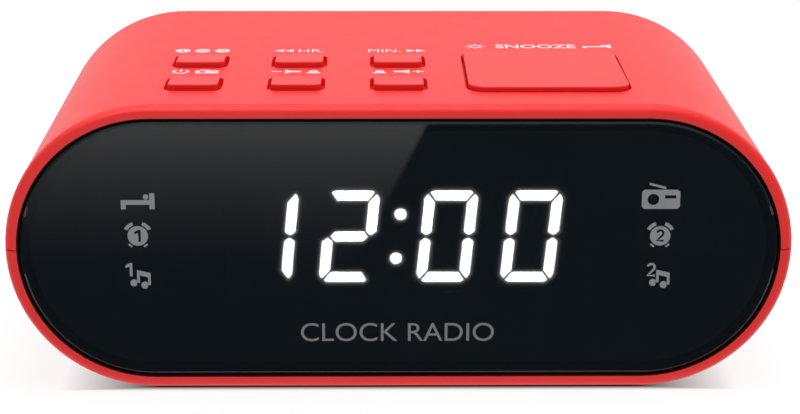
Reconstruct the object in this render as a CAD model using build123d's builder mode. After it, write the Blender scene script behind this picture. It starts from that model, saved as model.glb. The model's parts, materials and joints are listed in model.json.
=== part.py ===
from build123d import *
from math import cos, pi, radians, sin, sqrt, tan
import os

# A bedside clock radio: a flat-bottomed case with round ends, a dark window over an LED
# clock at the front, seven keys on top, a loudspeaker behind slots in the rear panel, and
# two backup cells under a sliding door. Millimetres. X runs to the right of a person who
# faces the window, Y runs from the window to the rear panel, Z is up, and the origin is on
# the table under the middle of the case.

os.makedirs("parts", exist_ok=True)

# Case
WIDTH = 185.8
HEIGHT = 69.8
DEPTH = 106.0
STAND = 1.1  # height of the front lip above the table
MID_Z = STAND + HEIGHT / 2
FRONT_Y = -DEPTH / 2
REAR_Y = DEPTH / 2
RING = 2.8  # rim round the front and rear openings, and how deep that rim runs
STEP = 0.1  # the case behind its front lip is this much smaller all round
WALL = 2.0
LIP_DEPTH = 2.1
LIP_RADIUS = 1.9
GROOVE_WIDTH = 0.7
GROOVE_DEPTH = 0.2
REAR_RADIUS = 1.5
SEAM = 0.36  # the open line where the two halves of the case meet
SEAM_DEPTH = 0.35
BODY_WIDTH = WIDTH - 2 * STEP
BODY_HEIGHT = HEIGHT - 2 * STEP
TOP_Z = STAND + HEIGHT - STEP
BOTTOM_Z = STAND + STEP
INNER_TOP = TOP_Z - WALL
INNER_BOTTOM = BOTTOM_Z + WALL
OPENING_WIDTH = WIDTH - 2 * RING
OPENING_HEIGHT = HEIGHT - 2 * RING
CAVITY_WIDTH = BODY_WIDTH - 2 * WALL
CAVITY_HEIGHT = BODY_HEIGHT - 2 * WALL
FIT = 0.2  # clearance between fixed mouldings
RUN = 0.3  # clearance between parts that move past each other
THREAD_CLEARANCE = 0.05
BOARD_THICK = 1.6  # every circuit board

# Window and the carrier behind it
WINDOW_GAP = 0.85
WINDOW_THICK = 2.0
WINDOW_BEVEL_WIDE = 0.55  # across the front face
WINDOW_BEVEL_DEEP = 0.35  # down the edge
WINDOW_WIDTH = OPENING_WIDTH - 2 * WINDOW_GAP
WINDOW_HEIGHT = OPENING_HEIGHT - 2 * WINDOW_GAP
WINDOW_BACK = FRONT_Y + WINDOW_THICK
TAPE_THICK = 0.2
TAPE_WIDTH = 2.0
CARRIER_FACE = WINDOW_BACK + TAPE_THICK
CARRIER_RIM_FACE = FRONT_Y + 0.3
CARRIER_RIM_FIT = 0.1
CARRIER_LIP = 0.3  # thin lip of the carrier inside the rim of the case
RECESS_FLOOR = FRONT_Y + 1.8  # floor of the dark groove round the window
CARRIER_BACK = -48.0

# LED clock: four digits of seven bars that lean to the right, and two dots
DIGIT_TALL = 22.7
DIGIT_WIDE = 12.6
BAR = 2.5
BAR_GAP = 0.24
SLANT = 5.5
DIGIT_PITCH = 19.9
COLON_PITCH = 23.1
ONE_SHIFT = 0.85  # the first digit stands nearer to the second than the pitch says
CLOCK_X = -0.25
CLOCK_Z = MID_Z + 2.89
DOT_RADIUS = 1.37
DOT_RISE = 5.47
BAR_DEEP = 3.0
CLOCK_FACE = CARRIER_FACE + 0.1
CLOCK_DEEP = 7.0
CLOCK_WIDE = 82.0
CLOCK_TALL = 28.0
CLOCK_BACK = CLOCK_FACE + CLOCK_DEEP
CLOCK_BOARD_WIDE = 144.0
CLOCK_BOARD_TALL = 34.0
CLOCK_BOARD_BACK = CLOCK_BACK + BOARD_THICK
CLOCK_SCREWS = [(x, CLOCK_Z - MID_Z + rise) for x in (-49.0, 49.0) for rise in (-12.0, 12.0)]
CLOCK_POST_RADIUS = 2.6
TIME_SHOWN = ("bc", "abged", "abcdef", "abcdef")

# Symbols at each side of the clock: three lamps in a column
LAMP_X = 61.4
LAMP_RISES = (11.7, 2.7, -6.8)
LAMP_WIDE = 11.0
LAMP_TALL = 7.6

# Keys
KEY_COLUMNS = (-49.2, -24.6, 0.0)
KEY_ROWS = (-30.85, -8.05)
KEY_WIDE = 13.7
KEY_DEEP = 13.2
KEY_CORNER = 2.4
KEY_GAP = 0.9
KEY_RAISE = 1.3  # the keys slope down to the rear, from this much above the case
KEY_REAR_RAISE = 0.5
SNOOZE_X = 35.9
SNOOZE_Y = -18.5
SNOOZE_WIDE = 39.6
SNOOZE_DEEP = 41.0
SNOOZE_CORNER = 5.0
SNOOZE_GAP = 0.6
SNOOZE_RAISE = 1.15
SNOOZE_REAR_RAISE = 0.4
CAP_EDGE = 0.3
RIM_RADIUS = 0.25
CAP_FLANGE = 0.8
FLANGE_THICK = 1.4
FLANGE_TOP = INNER_TOP - 0.1
POST_BOTTOM = 64.0
CAP_WALL = 1.4
CAP_ROOF = 1.3
CAP_POST_RADIUS = 2.0
PLUNGER_LONG = 3.0
PLUNGER_RADIUS = 1.7
SWITCH_SIDE = 6.0
SWITCH_TOP = 62.2
KEY_BOARD_TOP = 58.6
SNOOZE_SWITCHES = (-11.0, 11.0)

# Rear panel and loudspeaker
PANEL_OUT = REAR_Y - 0.6
PANEL_THICK = 2.2
PANEL_IN = PANEL_OUT - PANEL_THICK
FLANGE_FACE = REAR_Y - RING - 0.1
FLANGE_BACK = FLANGE_FACE - 1.5
SPEAKER_X = 50.0
SPEAKER_RADIUS = 28.0
GRILLE_RADIUS = 24.5
SLOT = 2.0
SLOT_PITCH = 4.4
SLOTS_EACH_SIDE = 5
GASKET_THICK = 0.8
GASKET_RADIUS = 26.8
GASKET_HOLE = 24.6
BASKET_HOLE = 24.9
BASKET_FACE = PANEL_IN - GASKET_THICK
EAR_REACH = 29.8
EAR_RADIUS = 3.2
SPEAKER_HOLES = [
    (SPEAKER_X + EAR_REACH * cos(radians(angle)), MID_Z + EAR_REACH * sin(radians(angle)))
    for angle in (45, 135, 225, 315)
]

# Battery bay
BAY_X = -18.0
BAY_LONG = 51.0
BAY_FRONT = 17.0
BAY_DEEP = 23.4
BAY_TOP = 15.5
BAY_WALL = 1.2
DOOR_WIDE = 56.0
DOOR_FRONT = 14.0
RAIL = 1.7
RAIL_LOW = BOTTOM_Z + 0.9
ROOF_LOW = BOTTOM_Z + 2.2
DOOR_TOP = ROOF_LOW - 0.25
DOOR_SKIN = 1.2
BAY_FLOOR_TOP = 4.6
BAY_MARGIN = 2.0  # floor of the bay beyond the door's rails
FINGER_RIBS = 5
FINGER_RIB_PITCH = 2.2
RING_TOP = STAND + RING
CELL_RADIUS = 5.25
CELL_BODY = 43.5
NUB_RADIUS = 1.9
NUB_LONG = 1.0
CELL_Z = 9.4
CELL_PITCH = 11.3
PLATE = 0.4

# Boards, posts and screws
MAIN_TOP = 20.1
MAIN_LEFT = -62.0
MAIN_RIGHT = 16.5
MAIN_FRONT = -30.0
MAIN_REAR = 46.0
MAIN_POSTS = ((-58.5, -26.0), (12.5, -26.0), (-58.5, 40.0), (12.5, 40.0))
KEY_POSTS = [(x, y) for x in (-61.0, 11.45, 60.5) for y in (-34.0, -5.0)]
POST_RADIUS = 2.8
PILOT_RADIUS = 0.9
PILOT_DEEP = 7.0
SCREW_RADIUS = PILOT_RADIUS - THREAD_CLEARANCE
CASE_SCREW_X = 71.0
CASE_SCREW_Y = 30.0
CASE_BOSS_RADIUS = 3.8
CASE_PILOT = 1.3
CASE_PILOT_DEEP = 14.0
COUNTERBORE_RADIUS = 2.9
COUNTERBORE_TOP = 24.0
JACK_X = -49.5
JACK_Z = MAIN_TOP + 5.5
JACK_NOSE = 4.0
JACK_BORE = 2.8
AERIAL_X = -72.0
FOOT_X = 53.5
FOOT_Y = 40.0
FOOT_RADIUS = 5.0
FOOT_SUNK = 0.6


def save(piece, name):
    """Label a finished piece and write its STEP file."""
    piece.part.label = name
    export_step(piece.part, f"parts/{name}.step")


def across(y, x=0.0, z=MID_Z):
    """Upright plane at depth y that faces the front, with its origin at (x, z)."""
    return Plane(origin=(x, y, z), x_dir=(1, 0, 0), z_dir=(0, -1, 0))


def level(z, x=0.0, y=0.0):
    """Level plane at height z that faces up, with its origin at (x, y)."""
    return Plane(origin=(x, y, z), x_dir=(1, 0, 0), z_dir=(0, 0, 1))


def stadium(y, width, height):
    """Round-ended outline of the case at depth y."""
    with BuildSketch(across(y)) as outline:
        SlotOverall(width, height)
    return outline.sketch


def rounded(plane, width, height, radius):
    """Rectangle with round corners on a plane."""
    with BuildSketch(plane) as outline:
        RectangleRounded(width, height, radius)
    return outline.sketch


def plain(plane, width, height):
    """Rectangle on a plane."""
    with BuildSketch(plane) as outline:
        Rectangle(width, height)
    return outline.sketch


def disc(plane, radius):
    """Circle on a plane."""
    with BuildSketch(plane) as outline:
        Circle(radius)
    return outline.sketch


def discs(z, centres, radius):
    """Equal circles at several (x, y) places on the level plane at height z."""
    with BuildSketch(level(z)) as outline:
        with Locations(*centres):
            Circle(radius)
    return outline.sketch


def posts(low, high, centres, radius):
    """Upright round posts, trimmed where they run into the wall of the case."""
    with BuildPart() as columns:
        extrude(discs(low, centres, radius), amount=high - low)
        extrude(
            stadium(FRONT_Y + RING, BODY_WIDTH - WALL, BODY_HEIGHT - WALL),
            amount=-(DEPTH - 2 * RING),
            mode=Mode.INTERSECT,
        )
    return columns.part


CASE_SCREWS = [(x, y) for x in (-CASE_SCREW_X, CASE_SCREW_X) for y in (-CASE_SCREW_Y, CASE_SCREW_Y)]
FEET = [(x, y) for x in (-FOOT_X, FOOT_X) for y in (-FOOT_Y, FOOT_Y)]


# ---------------------------------------------------------------- case halves


def case_tube():
    """Whole case as one round-ended tube with a lip, a groove behind it and two rims."""
    groove_y = FRONT_Y + LIP_DEPTH
    body_y = groove_y + GROOVE_WIDTH
    sunk = 2 * (STEP + GROOVE_DEPTH)
    with BuildPart() as tube:
        extrude(stadium(FRONT_Y, WIDTH, HEIGHT), amount=-LIP_DEPTH)
        fillet(tube.faces().sort_by(Axis.Y)[0].edges(), LIP_RADIUS)
        extrude(stadium(groove_y, WIDTH - sunk, HEIGHT - sunk), amount=-GROOVE_WIDTH)
        extrude(stadium(body_y, BODY_WIDTH, BODY_HEIGHT), amount=-(REAR_Y - body_y))
        fillet(tube.faces().sort_by(Axis.Y)[-1].edges(), REAR_RADIUS)
        extrude(
            stadium(FRONT_Y, OPENING_WIDTH, OPENING_HEIGHT),
            amount=-DEPTH,
            mode=Mode.SUBTRACT,
        )
        extrude(
            stadium(FRONT_Y + RING, CAVITY_WIDTH, CAVITY_HEIGHT),
            amount=-(DEPTH - 2 * RING),
            mode=Mode.SUBTRACT,
        )
        with BuildSketch(level(MID_Z - SEAM / 2)):
            Rectangle(WIDTH + 2, DEPTH + 2)
            RectangleRounded(
                BODY_WIDTH - 2 * SEAM_DEPTH,
                DEPTH - 2 * SEAM_DEPTH,
                LIP_RADIUS,
                mode=Mode.SUBTRACT,
            )
        extrude(amount=SEAM, mode=Mode.SUBTRACT)
    return tube.part


def key_openings():
    """Prisms through the top of the case, one for each key."""
    floor = INNER_TOP - 1
    with BuildPart() as prisms:
        for x in KEY_COLUMNS:
            for y in KEY_ROWS:
                extrude(rounded(level(floor, x, y), KEY_WIDE, KEY_DEEP, KEY_CORNER), amount=WALL + 2)
        extrude(
            rounded(level(floor, SNOOZE_X, SNOOZE_Y), SNOOZE_WIDE, SNOOZE_DEEP, SNOOZE_CORNER),
            amount=WALL + 2,
        )
    return prisms.part


with BuildPart() as upper_shell:
    add(case_tube())
    split(bisect_by=level(MID_Z), keep=Keep.TOP)
    add(posts(KEY_BOARD_TOP, TOP_Z, KEY_POSTS, POST_RADIUS))
    add(posts(MID_Z, TOP_Z, CASE_SCREWS, CASE_BOSS_RADIUS))
    extrude(discs(KEY_BOARD_TOP, KEY_POSTS, PILOT_RADIUS), amount=PILOT_DEEP, mode=Mode.SUBTRACT)
    extrude(discs(MID_Z, CASE_SCREWS, CASE_PILOT), amount=CASE_PILOT_DEEP, mode=Mode.SUBTRACT)
    add(key_openings(), mode=Mode.SUBTRACT)
    flat_top = upper_shell.faces().filter_by(Axis.Z).sort_by(SortBy.AREA)[-1]
    fillet([edge for rim in flat_top.inner_wires() for edge in rim.edges()], RIM_RADIUS)
save(upper_shell, "upper_shell")

with BuildPart() as lower_shell:
    add(case_tube())
    split(bisect_by=level(MID_Z), keep=Keep.BOTTOM)
    add(posts(STAND, MID_Z, CASE_SCREWS, CASE_BOSS_RADIUS))
    add(posts(STAND, MAIN_TOP - BOARD_THICK, MAIN_POSTS, POST_RADIUS))
    # battery bay: a thicker floor for the door's rails and a tub that stands on it
    extrude(
        plain(level(BOTTOM_Z + 0.5, BAY_X, (DOOR_FRONT + FLANGE_BACK) / 2 - 1.0),
              DOOR_WIDE + 2 * (RAIL + BAY_MARGIN), FLANGE_BACK - DOOR_FRONT + 1.4),
        amount=BAY_FLOOR_TOP - BOTTOM_Z - 0.5,
    )
    extrude(
        plain(level(BOTTOM_Z + 0.5, BAY_X, (FLANGE_BACK + REAR_Y - RING) / 2),
              DOOR_WIDE + 2 * (RAIL + BAY_MARGIN), REAR_Y - RING - FLANGE_BACK + 1),
        amount=RING_TOP - BOTTOM_Z - 0.5,
    )
    bay_y = BAY_FRONT + BAY_DEEP / 2
    extrude(
        plain(level(RING_TOP, BAY_X, bay_y), BAY_LONG + 2 * BAY_WALL, BAY_DEEP + 2 * BAY_WALL),
        amount=BAY_TOP + BAY_WALL - RING_TOP,
    )
    extrude(
        plain(level(BOTTOM_Z, BAY_X, bay_y), BAY_LONG, BAY_DEEP),
        amount=BAY_TOP - BOTTOM_Z,
        mode=Mode.SUBTRACT,
    )
    # the door's track, narrow below and wide above, open at the rear edge
    track_y = (DOOR_FRONT - RUN + REAR_Y + 1) / 2
    track_long = REAR_Y + 1 - (DOOR_FRONT - RUN)
    extrude(
        plain(level(STAND - 1, BAY_X, track_y), DOOR_WIDE + 2 * RUN, track_long),
        amount=ROOF_LOW - STAND + 1,
        mode=Mode.SUBTRACT,
    )
    extrude(
        plain(level(RAIL_LOW, BAY_X, track_y), DOOR_WIDE + 2 * RAIL + 2 * RUN, track_long),
        amount=ROOF_LOW - RAIL_LOW,
        mode=Mode.SUBTRACT,
    )
    extrude(discs(MAIN_TOP - BOARD_THICK, MAIN_POSTS, PILOT_RADIUS), amount=-PILOT_DEEP,
            mode=Mode.SUBTRACT)
    extrude(discs(MID_Z, CASE_SCREWS, CASE_PILOT + FIT), amount=-HEIGHT / 2, mode=Mode.SUBTRACT)
    extrude(discs(STAND, CASE_SCREWS, COUNTERBORE_RADIUS), amount=COUNTERBORE_TOP - STAND,
            mode=Mode.SUBTRACT)
    extrude(discs(STAND, FEET, FOOT_RADIUS + 0.1), amount=STEP + FOOT_SUNK, mode=Mode.SUBTRACT)
save(lower_shell, "lower_shell")

with BuildPart() as battery_door:
    door_long = REAR_Y - DOOR_FRONT
    door_y = (DOOR_FRONT + REAR_Y) / 2
    extrude(plain(level(BOTTOM_Z, BAY_X, door_y), DOOR_WIDE, door_long), amount=DOOR_SKIN)
    extrude(
        plain(level(BOTTOM_Z + 1.05, BAY_X, door_y), DOOR_WIDE + 2 * RAIL, door_long),
        amount=DOOR_TOP - BOTTOM_Z - 1.05,
    )
    lower_rear = battery_door.edges().filter_by(Axis.X).group_by(Axis.Z)[0].sort_by(Axis.Y)[-1]
    fillet(lower_rear, 1.0)
    # finger ribs
    for rib in range(FINGER_RIBS):
        groove = plain(level(BOTTOM_Z, BAY_X, REAR_Y - 5.0 - FINGER_RIB_PITCH * rib), 18.0, 1.1)
        extrude(groove, amount=0.4, mode=Mode.SUBTRACT)
save(battery_door, "battery_door")


def cell_outline():
    """Half section of a backup cell along its own axis, from the flat end to the nub."""
    with BuildSketch(Plane.XY) as outline:
        with BuildLine():
            Polyline(
                (0, 0),
                (CELL_BODY + NUB_LONG, 0),
                (CELL_BODY + NUB_LONG, NUB_RADIUS),
                (CELL_BODY, NUB_RADIUS),
                (CELL_BODY, CELL_RADIUS),
                (0, CELL_RADIUS),
                close=True,
            )
        make_face()
    return outline.sketch


def cell(end_x, y, way):
    """One backup cell with its flat end at end_x and its nub pointing the given way in X."""
    with BuildPart() as one:
        revolve(cell_outline(), Axis.X)
        rims = one.edges().filter_by(GeomType.CIRCLE).filter_by(lambda e: e.radius > 5)
        fillet(rims, 0.4)
    turn = 0 if way > 0 else 180
    return Location((end_x, y, CELL_Z), (0, 0, turn)) * one.part


BAY_LEFT = BAY_X - BAY_LONG / 2
BAY_RIGHT = BAY_X + BAY_LONG / 2
CELL_YS = [BAY_FRONT + BAY_DEEP / 2 + side * CELL_PITCH / 2 for side in (-1, 1)]
CELL_REACH = CELL_BODY + NUB_LONG
FLAT_ENDS = (BAY_RIGHT - PLATE - CELL_REACH, BAY_LEFT + PLATE + CELL_REACH)

with BuildPart() as backup_cells:
    add(cell(FLAT_ENDS[0], CELL_YS[0], 1))
    add(cell(FLAT_ENDS[1], CELL_YS[1], -1))
save(backup_cells, "backup_cells")

SPRING_GAP = FLAT_ENDS[0] - BAY_LEFT - PLATE
SPRING_WIRE = 0.3
SPRING_TURNS = 3
SPRING_RADIUS = 3.2
with BuildPart() as battery_contacts:
    for y in CELL_YS:
        for x in (BAY_LEFT + PLATE / 2, BAY_RIGHT - PLATE / 2):
            extrude(plain(level(CELL_Z - 4.0, x, y), PLATE, 8.6), amount=8.0)
    for y, start, way in ((CELL_YS[0], BAY_LEFT + PLATE, 1), (CELL_YS[1], BAY_RIGHT - PLATE, -1)):
        rise = SPRING_GAP - 2 * SPRING_WIRE - 0.1
        with BuildLine() as coil:
            Helix(rise / SPRING_TURNS, rise, SPRING_RADIUS,
                  center=(start + way * (SPRING_WIRE + 0.05), y, CELL_Z), direction=(way, 0, 0))
        with BuildSketch(Plane(coil.line @ 0, z_dir=coil.line % 0)):
            Circle(SPRING_WIRE)
        sweep(path=coil.line, is_frenet=True)
save(battery_contacts, "battery_contacts")

# ------------------------------------------------------- window and clock

with BuildPart() as display_window:
    extrude(stadium(FRONT_Y, WINDOW_WIDTH, WINDOW_HEIGHT), amount=-WINDOW_THICK)
    window_face = display_window.faces().sort_by(Axis.Y)[0]
    chamfer(window_face.edges(), WINDOW_BEVEL_WIDE, WINDOW_BEVEL_DEEP, reference=window_face)
save(display_window, "display_window")

with BuildPart() as window_tape:
    extrude(stadium(WINDOW_BACK, WINDOW_WIDTH - 1.0, WINDOW_HEIGHT - 1.0), amount=-TAPE_THICK)
    extrude(
        stadium(WINDOW_BACK, WINDOW_WIDTH - 1.0 - 2 * TAPE_WIDTH, WINDOW_HEIGHT - 1.0 - 2 * TAPE_WIDTH),
        amount=-TAPE_THICK,
        mode=Mode.SUBTRACT,
    )
save(window_tape, "window_tape")

LAMPS = [(side * LAMP_X, rise) for side in (-1, 1) for rise in LAMP_RISES]

with BuildPart() as front_carrier:
    rim_wide = OPENING_WIDTH - 2 * CARRIER_RIM_FIT
    rim_tall = OPENING_HEIGHT - 2 * CARRIER_RIM_FIT
    flange_y = FRONT_Y + RING + CARRIER_RIM_FIT
    extrude(stadium(CARRIER_RIM_FACE, rim_wide, rim_tall), amount=CARRIER_RIM_FACE - CARRIER_BACK)
    extrude(
        stadium(flange_y, CAVITY_WIDTH - 2 * FIT, CAVITY_HEIGHT - 2 * FIT),
        amount=flange_y - CARRIER_BACK,
    )
    extrude(
        stadium(CARRIER_RIM_FACE, rim_wide - 2 * CARRIER_LIP, rim_tall - 2 * CARRIER_LIP),
        amount=CARRIER_RIM_FACE - RECESS_FLOOR,
        mode=Mode.SUBTRACT,
    )
    extrude(
        stadium(RECESS_FLOOR, WINDOW_WIDTH + FIT, WINDOW_HEIGHT + FIT),
        amount=RECESS_FLOOR - CARRIER_FACE,
        mode=Mode.SUBTRACT,
    )
    # posts that the clock's board is screwed to
    for x, rise in CLOCK_SCREWS:
        extrude(disc(across(CARRIER_BACK, x, MID_Z + rise), CLOCK_POST_RADIUS),
                amount=CARRIER_BACK - CLOCK_BACK)
        extrude(disc(across(CLOCK_BACK, x, MID_Z + rise), PILOT_RADIUS), amount=5.5,
                mode=Mode.SUBTRACT)
    with BuildSketch(across(CARRIER_FACE)):
        with Locations((CLOCK_X, CLOCK_Z - MID_Z)):
            Rectangle(CLOCK_WIDE + 2 * FIT, CLOCK_TALL + 2 * FIT)
        with Locations(*LAMPS):
            Rectangle(LAMP_WIDE, LAMP_TALL)
    extrude(amount=CARRIER_FACE - CARRIER_BACK, mode=Mode.SUBTRACT)
save(front_carrier, "front_carrier")

with BuildPart() as symbol_diffusers:
    for x, rise in LAMPS:
        extrude(
            plain(across(CARRIER_FACE, x, MID_Z + rise), LAMP_WIDE - 0.1, LAMP_TALL - 0.1),
            amount=-1.2,
        )
save(symbol_diffusers, "symbol_diffusers")

# Corners of the bars of one upright digit, from its centre: the top bar, the upper right
# bar and the middle bar. The others are mirror images of these.
HALF_WIDE = DIGIT_WIDE / 2
HALF_TALL = DIGIT_TALL / 2
CORNER_CUT = 2.0
TIP_IN = 1.27
TIP_DOWN = 0.5
SIDE_TIP_IN = 0.75
SIDE_TIP_DOWN = 0.85
TOP_BAR = (
    (-HALF_WIDE + CORNER_CUT, HALF_TALL),
    (HALF_WIDE - CORNER_CUT, HALF_TALL),
    (HALF_WIDE - TIP_IN, HALF_TALL - TIP_DOWN),
    (HALF_WIDE - BAR - BAR_GAP, HALF_TALL - BAR),
    (-HALF_WIDE + BAR + BAR_GAP, HALF_TALL - BAR),
    (-HALF_WIDE + TIP_IN, HALF_TALL - TIP_DOWN),
)
SIDE_BAR = (
    (HALF_WIDE - BAR / 2, BAR_GAP + 0.06),
    (HALF_WIDE, BAR / 2),
    (HALF_WIDE, HALF_TALL - CORNER_CUT),
    (HALF_WIDE - SIDE_TIP_IN, HALF_TALL - SIDE_TIP_DOWN),
    (HALF_WIDE - BAR, HALF_TALL - BAR - BAR_GAP - 0.2),
    (HALF_WIDE - BAR, BAR / 2),
)
MIDDLE_BAR = (
    (-HALF_WIDE + BAR / 2 + 0.62, 0.0),
    (-HALF_WIDE + BAR + 0.5, BAR / 2),
    (HALF_WIDE - BAR - 0.5, BAR / 2),
    (HALF_WIDE - BAR / 2 - 0.62, 0.0),
    (HALF_WIDE - BAR - 0.5, -BAR / 2),
    (-HALF_WIDE + BAR + 0.5, -BAR / 2),
)
BARS = {
    "a": (TOP_BAR, 1, 1),
    "b": (SIDE_BAR, 1, 1),
    "c": (SIDE_BAR, 1, -1),
    "d": (TOP_BAR, 1, -1),
    "e": (SIDE_BAR, -1, -1),
    "f": (SIDE_BAR, -1, 1),
    "g": (MIDDLE_BAR, 1, 1),
}
DIGIT_XS = [
    CLOCK_X + side * COLON_PITCH / 2 + turn * DIGIT_PITCH
    for side, turn in ((-1, -1), (-1, 0), (1, 0), (1, 1))
]
DIGIT_XS[0] += ONE_SHIFT


def leaning(u, v, centre_x):
    """Place on the clock's face of a point of an upright digit, after the digit leans."""
    return (centre_x + u + v * tan(radians(SLANT)), v + CLOCK_Z - MID_Z)


def bar(letter, centre_x, depth):
    """One bar of a digit, from the clock's face back."""
    corners, flip_u, flip_v = BARS[letter]
    with BuildSketch(across(CLOCK_FACE)) as outline:
        with BuildLine():
            Polyline(*[leaning(u * flip_u, v * flip_v, centre_x) for u, v in corners], close=True)
        make_face()
        fillet(outline.vertices(), 0.15)
    with BuildPart() as block:
        extrude(outline.sketch, amount=-depth)
    return block.part


def bars(lit, depth):
    """All bars that show the time, or all that stay dark."""
    with BuildPart() as group:
        for centre_x, shown in zip(DIGIT_XS, TIME_SHOWN):
            for letter in BARS:
                if (letter in shown) == lit:
                    add(bar(letter, centre_x, depth))
    return group


def dots(radius, depth):
    """The two dots between hours and minutes."""
    with BuildPart() as pair:
        with BuildSketch(across(CLOCK_FACE)):
            with Locations(leaning(0, DOT_RISE, CLOCK_X), leaning(0, -DOT_RISE, CLOCK_X)):
                Circle(radius)
        extrude(amount=-depth)
    return pair


lit_segments = bars(True, BAR_DEEP)
save(lit_segments, "lit_segments")
dark_segments = bars(False, BAR_DEEP)
save(dark_segments, "dark_segments")
colon_dots = dots(DOT_RADIUS, BAR_DEEP)
save(colon_dots, "colon_dots")

with BuildPart() as clock_housing:
    extrude(plain(across(CLOCK_FACE, CLOCK_X, CLOCK_Z), CLOCK_WIDE, CLOCK_TALL), amount=-CLOCK_DEEP)
    add(bars(True, BAR_DEEP).part, mode=Mode.SUBTRACT)
    add(bars(False, BAR_DEEP).part, mode=Mode.SUBTRACT)
    add(dots(DOT_RADIUS + THREAD_CLEARANCE, BAR_DEEP).part, mode=Mode.SUBTRACT)
save(clock_housing, "clock_housing")

with BuildPart() as clock_board:
    extrude(
        plain(across(CLOCK_BACK, 0, CLOCK_Z), CLOCK_BOARD_WIDE, CLOCK_BOARD_TALL),
        amount=-BOARD_THICK,
    )
    with BuildSketch(across(CLOCK_BACK)):
        with Locations(*CLOCK_SCREWS):
            Circle(PILOT_RADIUS + FIT)
    extrude(amount=-BOARD_THICK, mode=Mode.SUBTRACT)
save(clock_board, "clock_board")

SYMBOL_LAMP = (3.5, 2.8, 1.9)
with BuildPart() as symbol_lamps:
    for x, rise in LAMPS:
        extrude(plain(across(CLOCK_BACK, x, MID_Z + rise), *SYMBOL_LAMP[:2]), amount=SYMBOL_LAMP[2])
save(symbol_lamps, "symbol_lamps")

PIN_COUNT = 8
PIN_PITCH = 5.08
PIN_SIDE = 0.5
with BuildPart() as clock_pins:
    for row in (-1, 1):
        for pin in range(PIN_COUNT):
            x = CLOCK_X + (pin - (PIN_COUNT - 1) / 2) * PIN_PITCH
            z = CLOCK_Z + row * (CLOCK_TALL / 2 - 2.0)
            extrude(plain(across(CLOCK_BOARD_BACK, x, z), PIN_SIDE, PIN_SIDE), amount=-1.6)
save(clock_pins, "clock_pins")

CHIP_TALL = 1.8
LEG_LONG = 1.2
LEG_WIDE = 0.5
LEG_TALL = 0.6
DRIVER_X = 22.0
DRIVER_SIDE = 10.0
DRIVER_LEGS = 8
DRIVER_LEG_PITCH = 1.2
with BuildPart() as clock_driver:
    extrude(plain(across(CLOCK_BOARD_BACK, DRIVER_X, CLOCK_Z), DRIVER_SIDE, DRIVER_SIDE), amount=-CHIP_TALL)
    for side in (-1, 1):
        leg_x = DRIVER_X + side * (DRIVER_SIDE + LEG_LONG) / 2
        for leg in range(DRIVER_LEGS):
            leg_z = CLOCK_Z + (leg - (DRIVER_LEGS - 1) / 2) * DRIVER_LEG_PITCH
            extrude(plain(across(CLOCK_BOARD_BACK, leg_x, leg_z), LEG_LONG, LEG_WIDE), amount=-LEG_TALL)
save(clock_driver, "clock_driver")

# ------------------------------------------------------------------- keys


def cap(x, y, width, depth, corner, front_top, rear_top, post_xs):
    """A key cap: sloping top with soft edges, a flange that stops it and posts underneath."""
    slope = Plane(
        origin=(x, y - depth / 2, front_top),
        x_dir=(1, 0, 0),
        z_dir=(0, front_top - rear_top, depth),
    )
    with BuildPart() as key:
        extrude(rounded(level(FLANGE_TOP - FLANGE_THICK, x, y), width, depth, corner),
                amount=front_top - FLANGE_TOP + FLANGE_THICK + 1)
        split(bisect_by=slope, keep=Keep.BOTTOM)
        fillet(key.faces().sort_by(Axis.Z)[-1].edges(), CAP_EDGE)
        spread = 2 * (KEY_GAP + CAP_FLANGE)
        extrude(
            rounded(level(FLANGE_TOP, x, y), width + spread, depth + spread, corner + spread / 2),
            amount=-FLANGE_THICK,
        )
        # the cap is a hollow moulding
        extrude(
            rounded(level(FLANGE_TOP - FLANGE_THICK, x, y), width - 2 * CAP_WALL, depth - 2 * CAP_WALL, 1.0),
            amount=rear_top - CAP_ROOF - FLANGE_TOP + FLANGE_THICK,
            mode=Mode.SUBTRACT,
        )
        for post_x in post_xs:
            extrude(disc(level(POST_BOTTOM, x + post_x, y), CAP_POST_RADIUS),
                    amount=rear_top - 0.8 - POST_BOTTOM)
    return key


def plungers(x, y, post_xs):
    """The switch plungers that one key rests on."""
    with BuildPart() as group:
        for post_x in post_xs:
            extrude(disc(level(POST_BOTTOM, x + post_x, y), PLUNGER_RADIUS), amount=-PLUNGER_LONG)
    return group


# the keys of each column, the front one first
KEY_NAMES = (("power", "alarm"), ("volume_down", "hour"), ("volume_up", "minute"))
SWITCH_PLACES = [(SNOOZE_X + offset, SNOOZE_Y) for offset in SNOOZE_SWITCHES]
for key_x, column in zip(KEY_COLUMNS, KEY_NAMES):
    for key_y, name in zip(KEY_ROWS, column):
        small_cap = cap(
            key_x,
            key_y,
            KEY_WIDE - 2 * KEY_GAP,
            KEY_DEEP - 2 * KEY_GAP,
            KEY_CORNER - KEY_GAP,
            TOP_Z + KEY_RAISE,
            TOP_Z + KEY_REAR_RAISE,
            (0.0,),
        )
        save(small_cap, f"{name}_key")
        save(plungers(key_x, key_y, (0.0,)), f"{name}_plunger")
        SWITCH_PLACES.append((key_x, key_y))

snooze_key = cap(
    SNOOZE_X,
    SNOOZE_Y,
    SNOOZE_WIDE - 2 * SNOOZE_GAP,
    SNOOZE_DEEP - 2 * SNOOZE_GAP,
    SNOOZE_CORNER - SNOOZE_GAP,
    TOP_Z + SNOOZE_RAISE,
    TOP_Z + SNOOZE_REAR_RAISE,
    SNOOZE_SWITCHES,
)
save(snooze_key, "snooze_key")
save(plungers(SNOOZE_X, SNOOZE_Y, SNOOZE_SWITCHES), "snooze_plungers")

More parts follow.
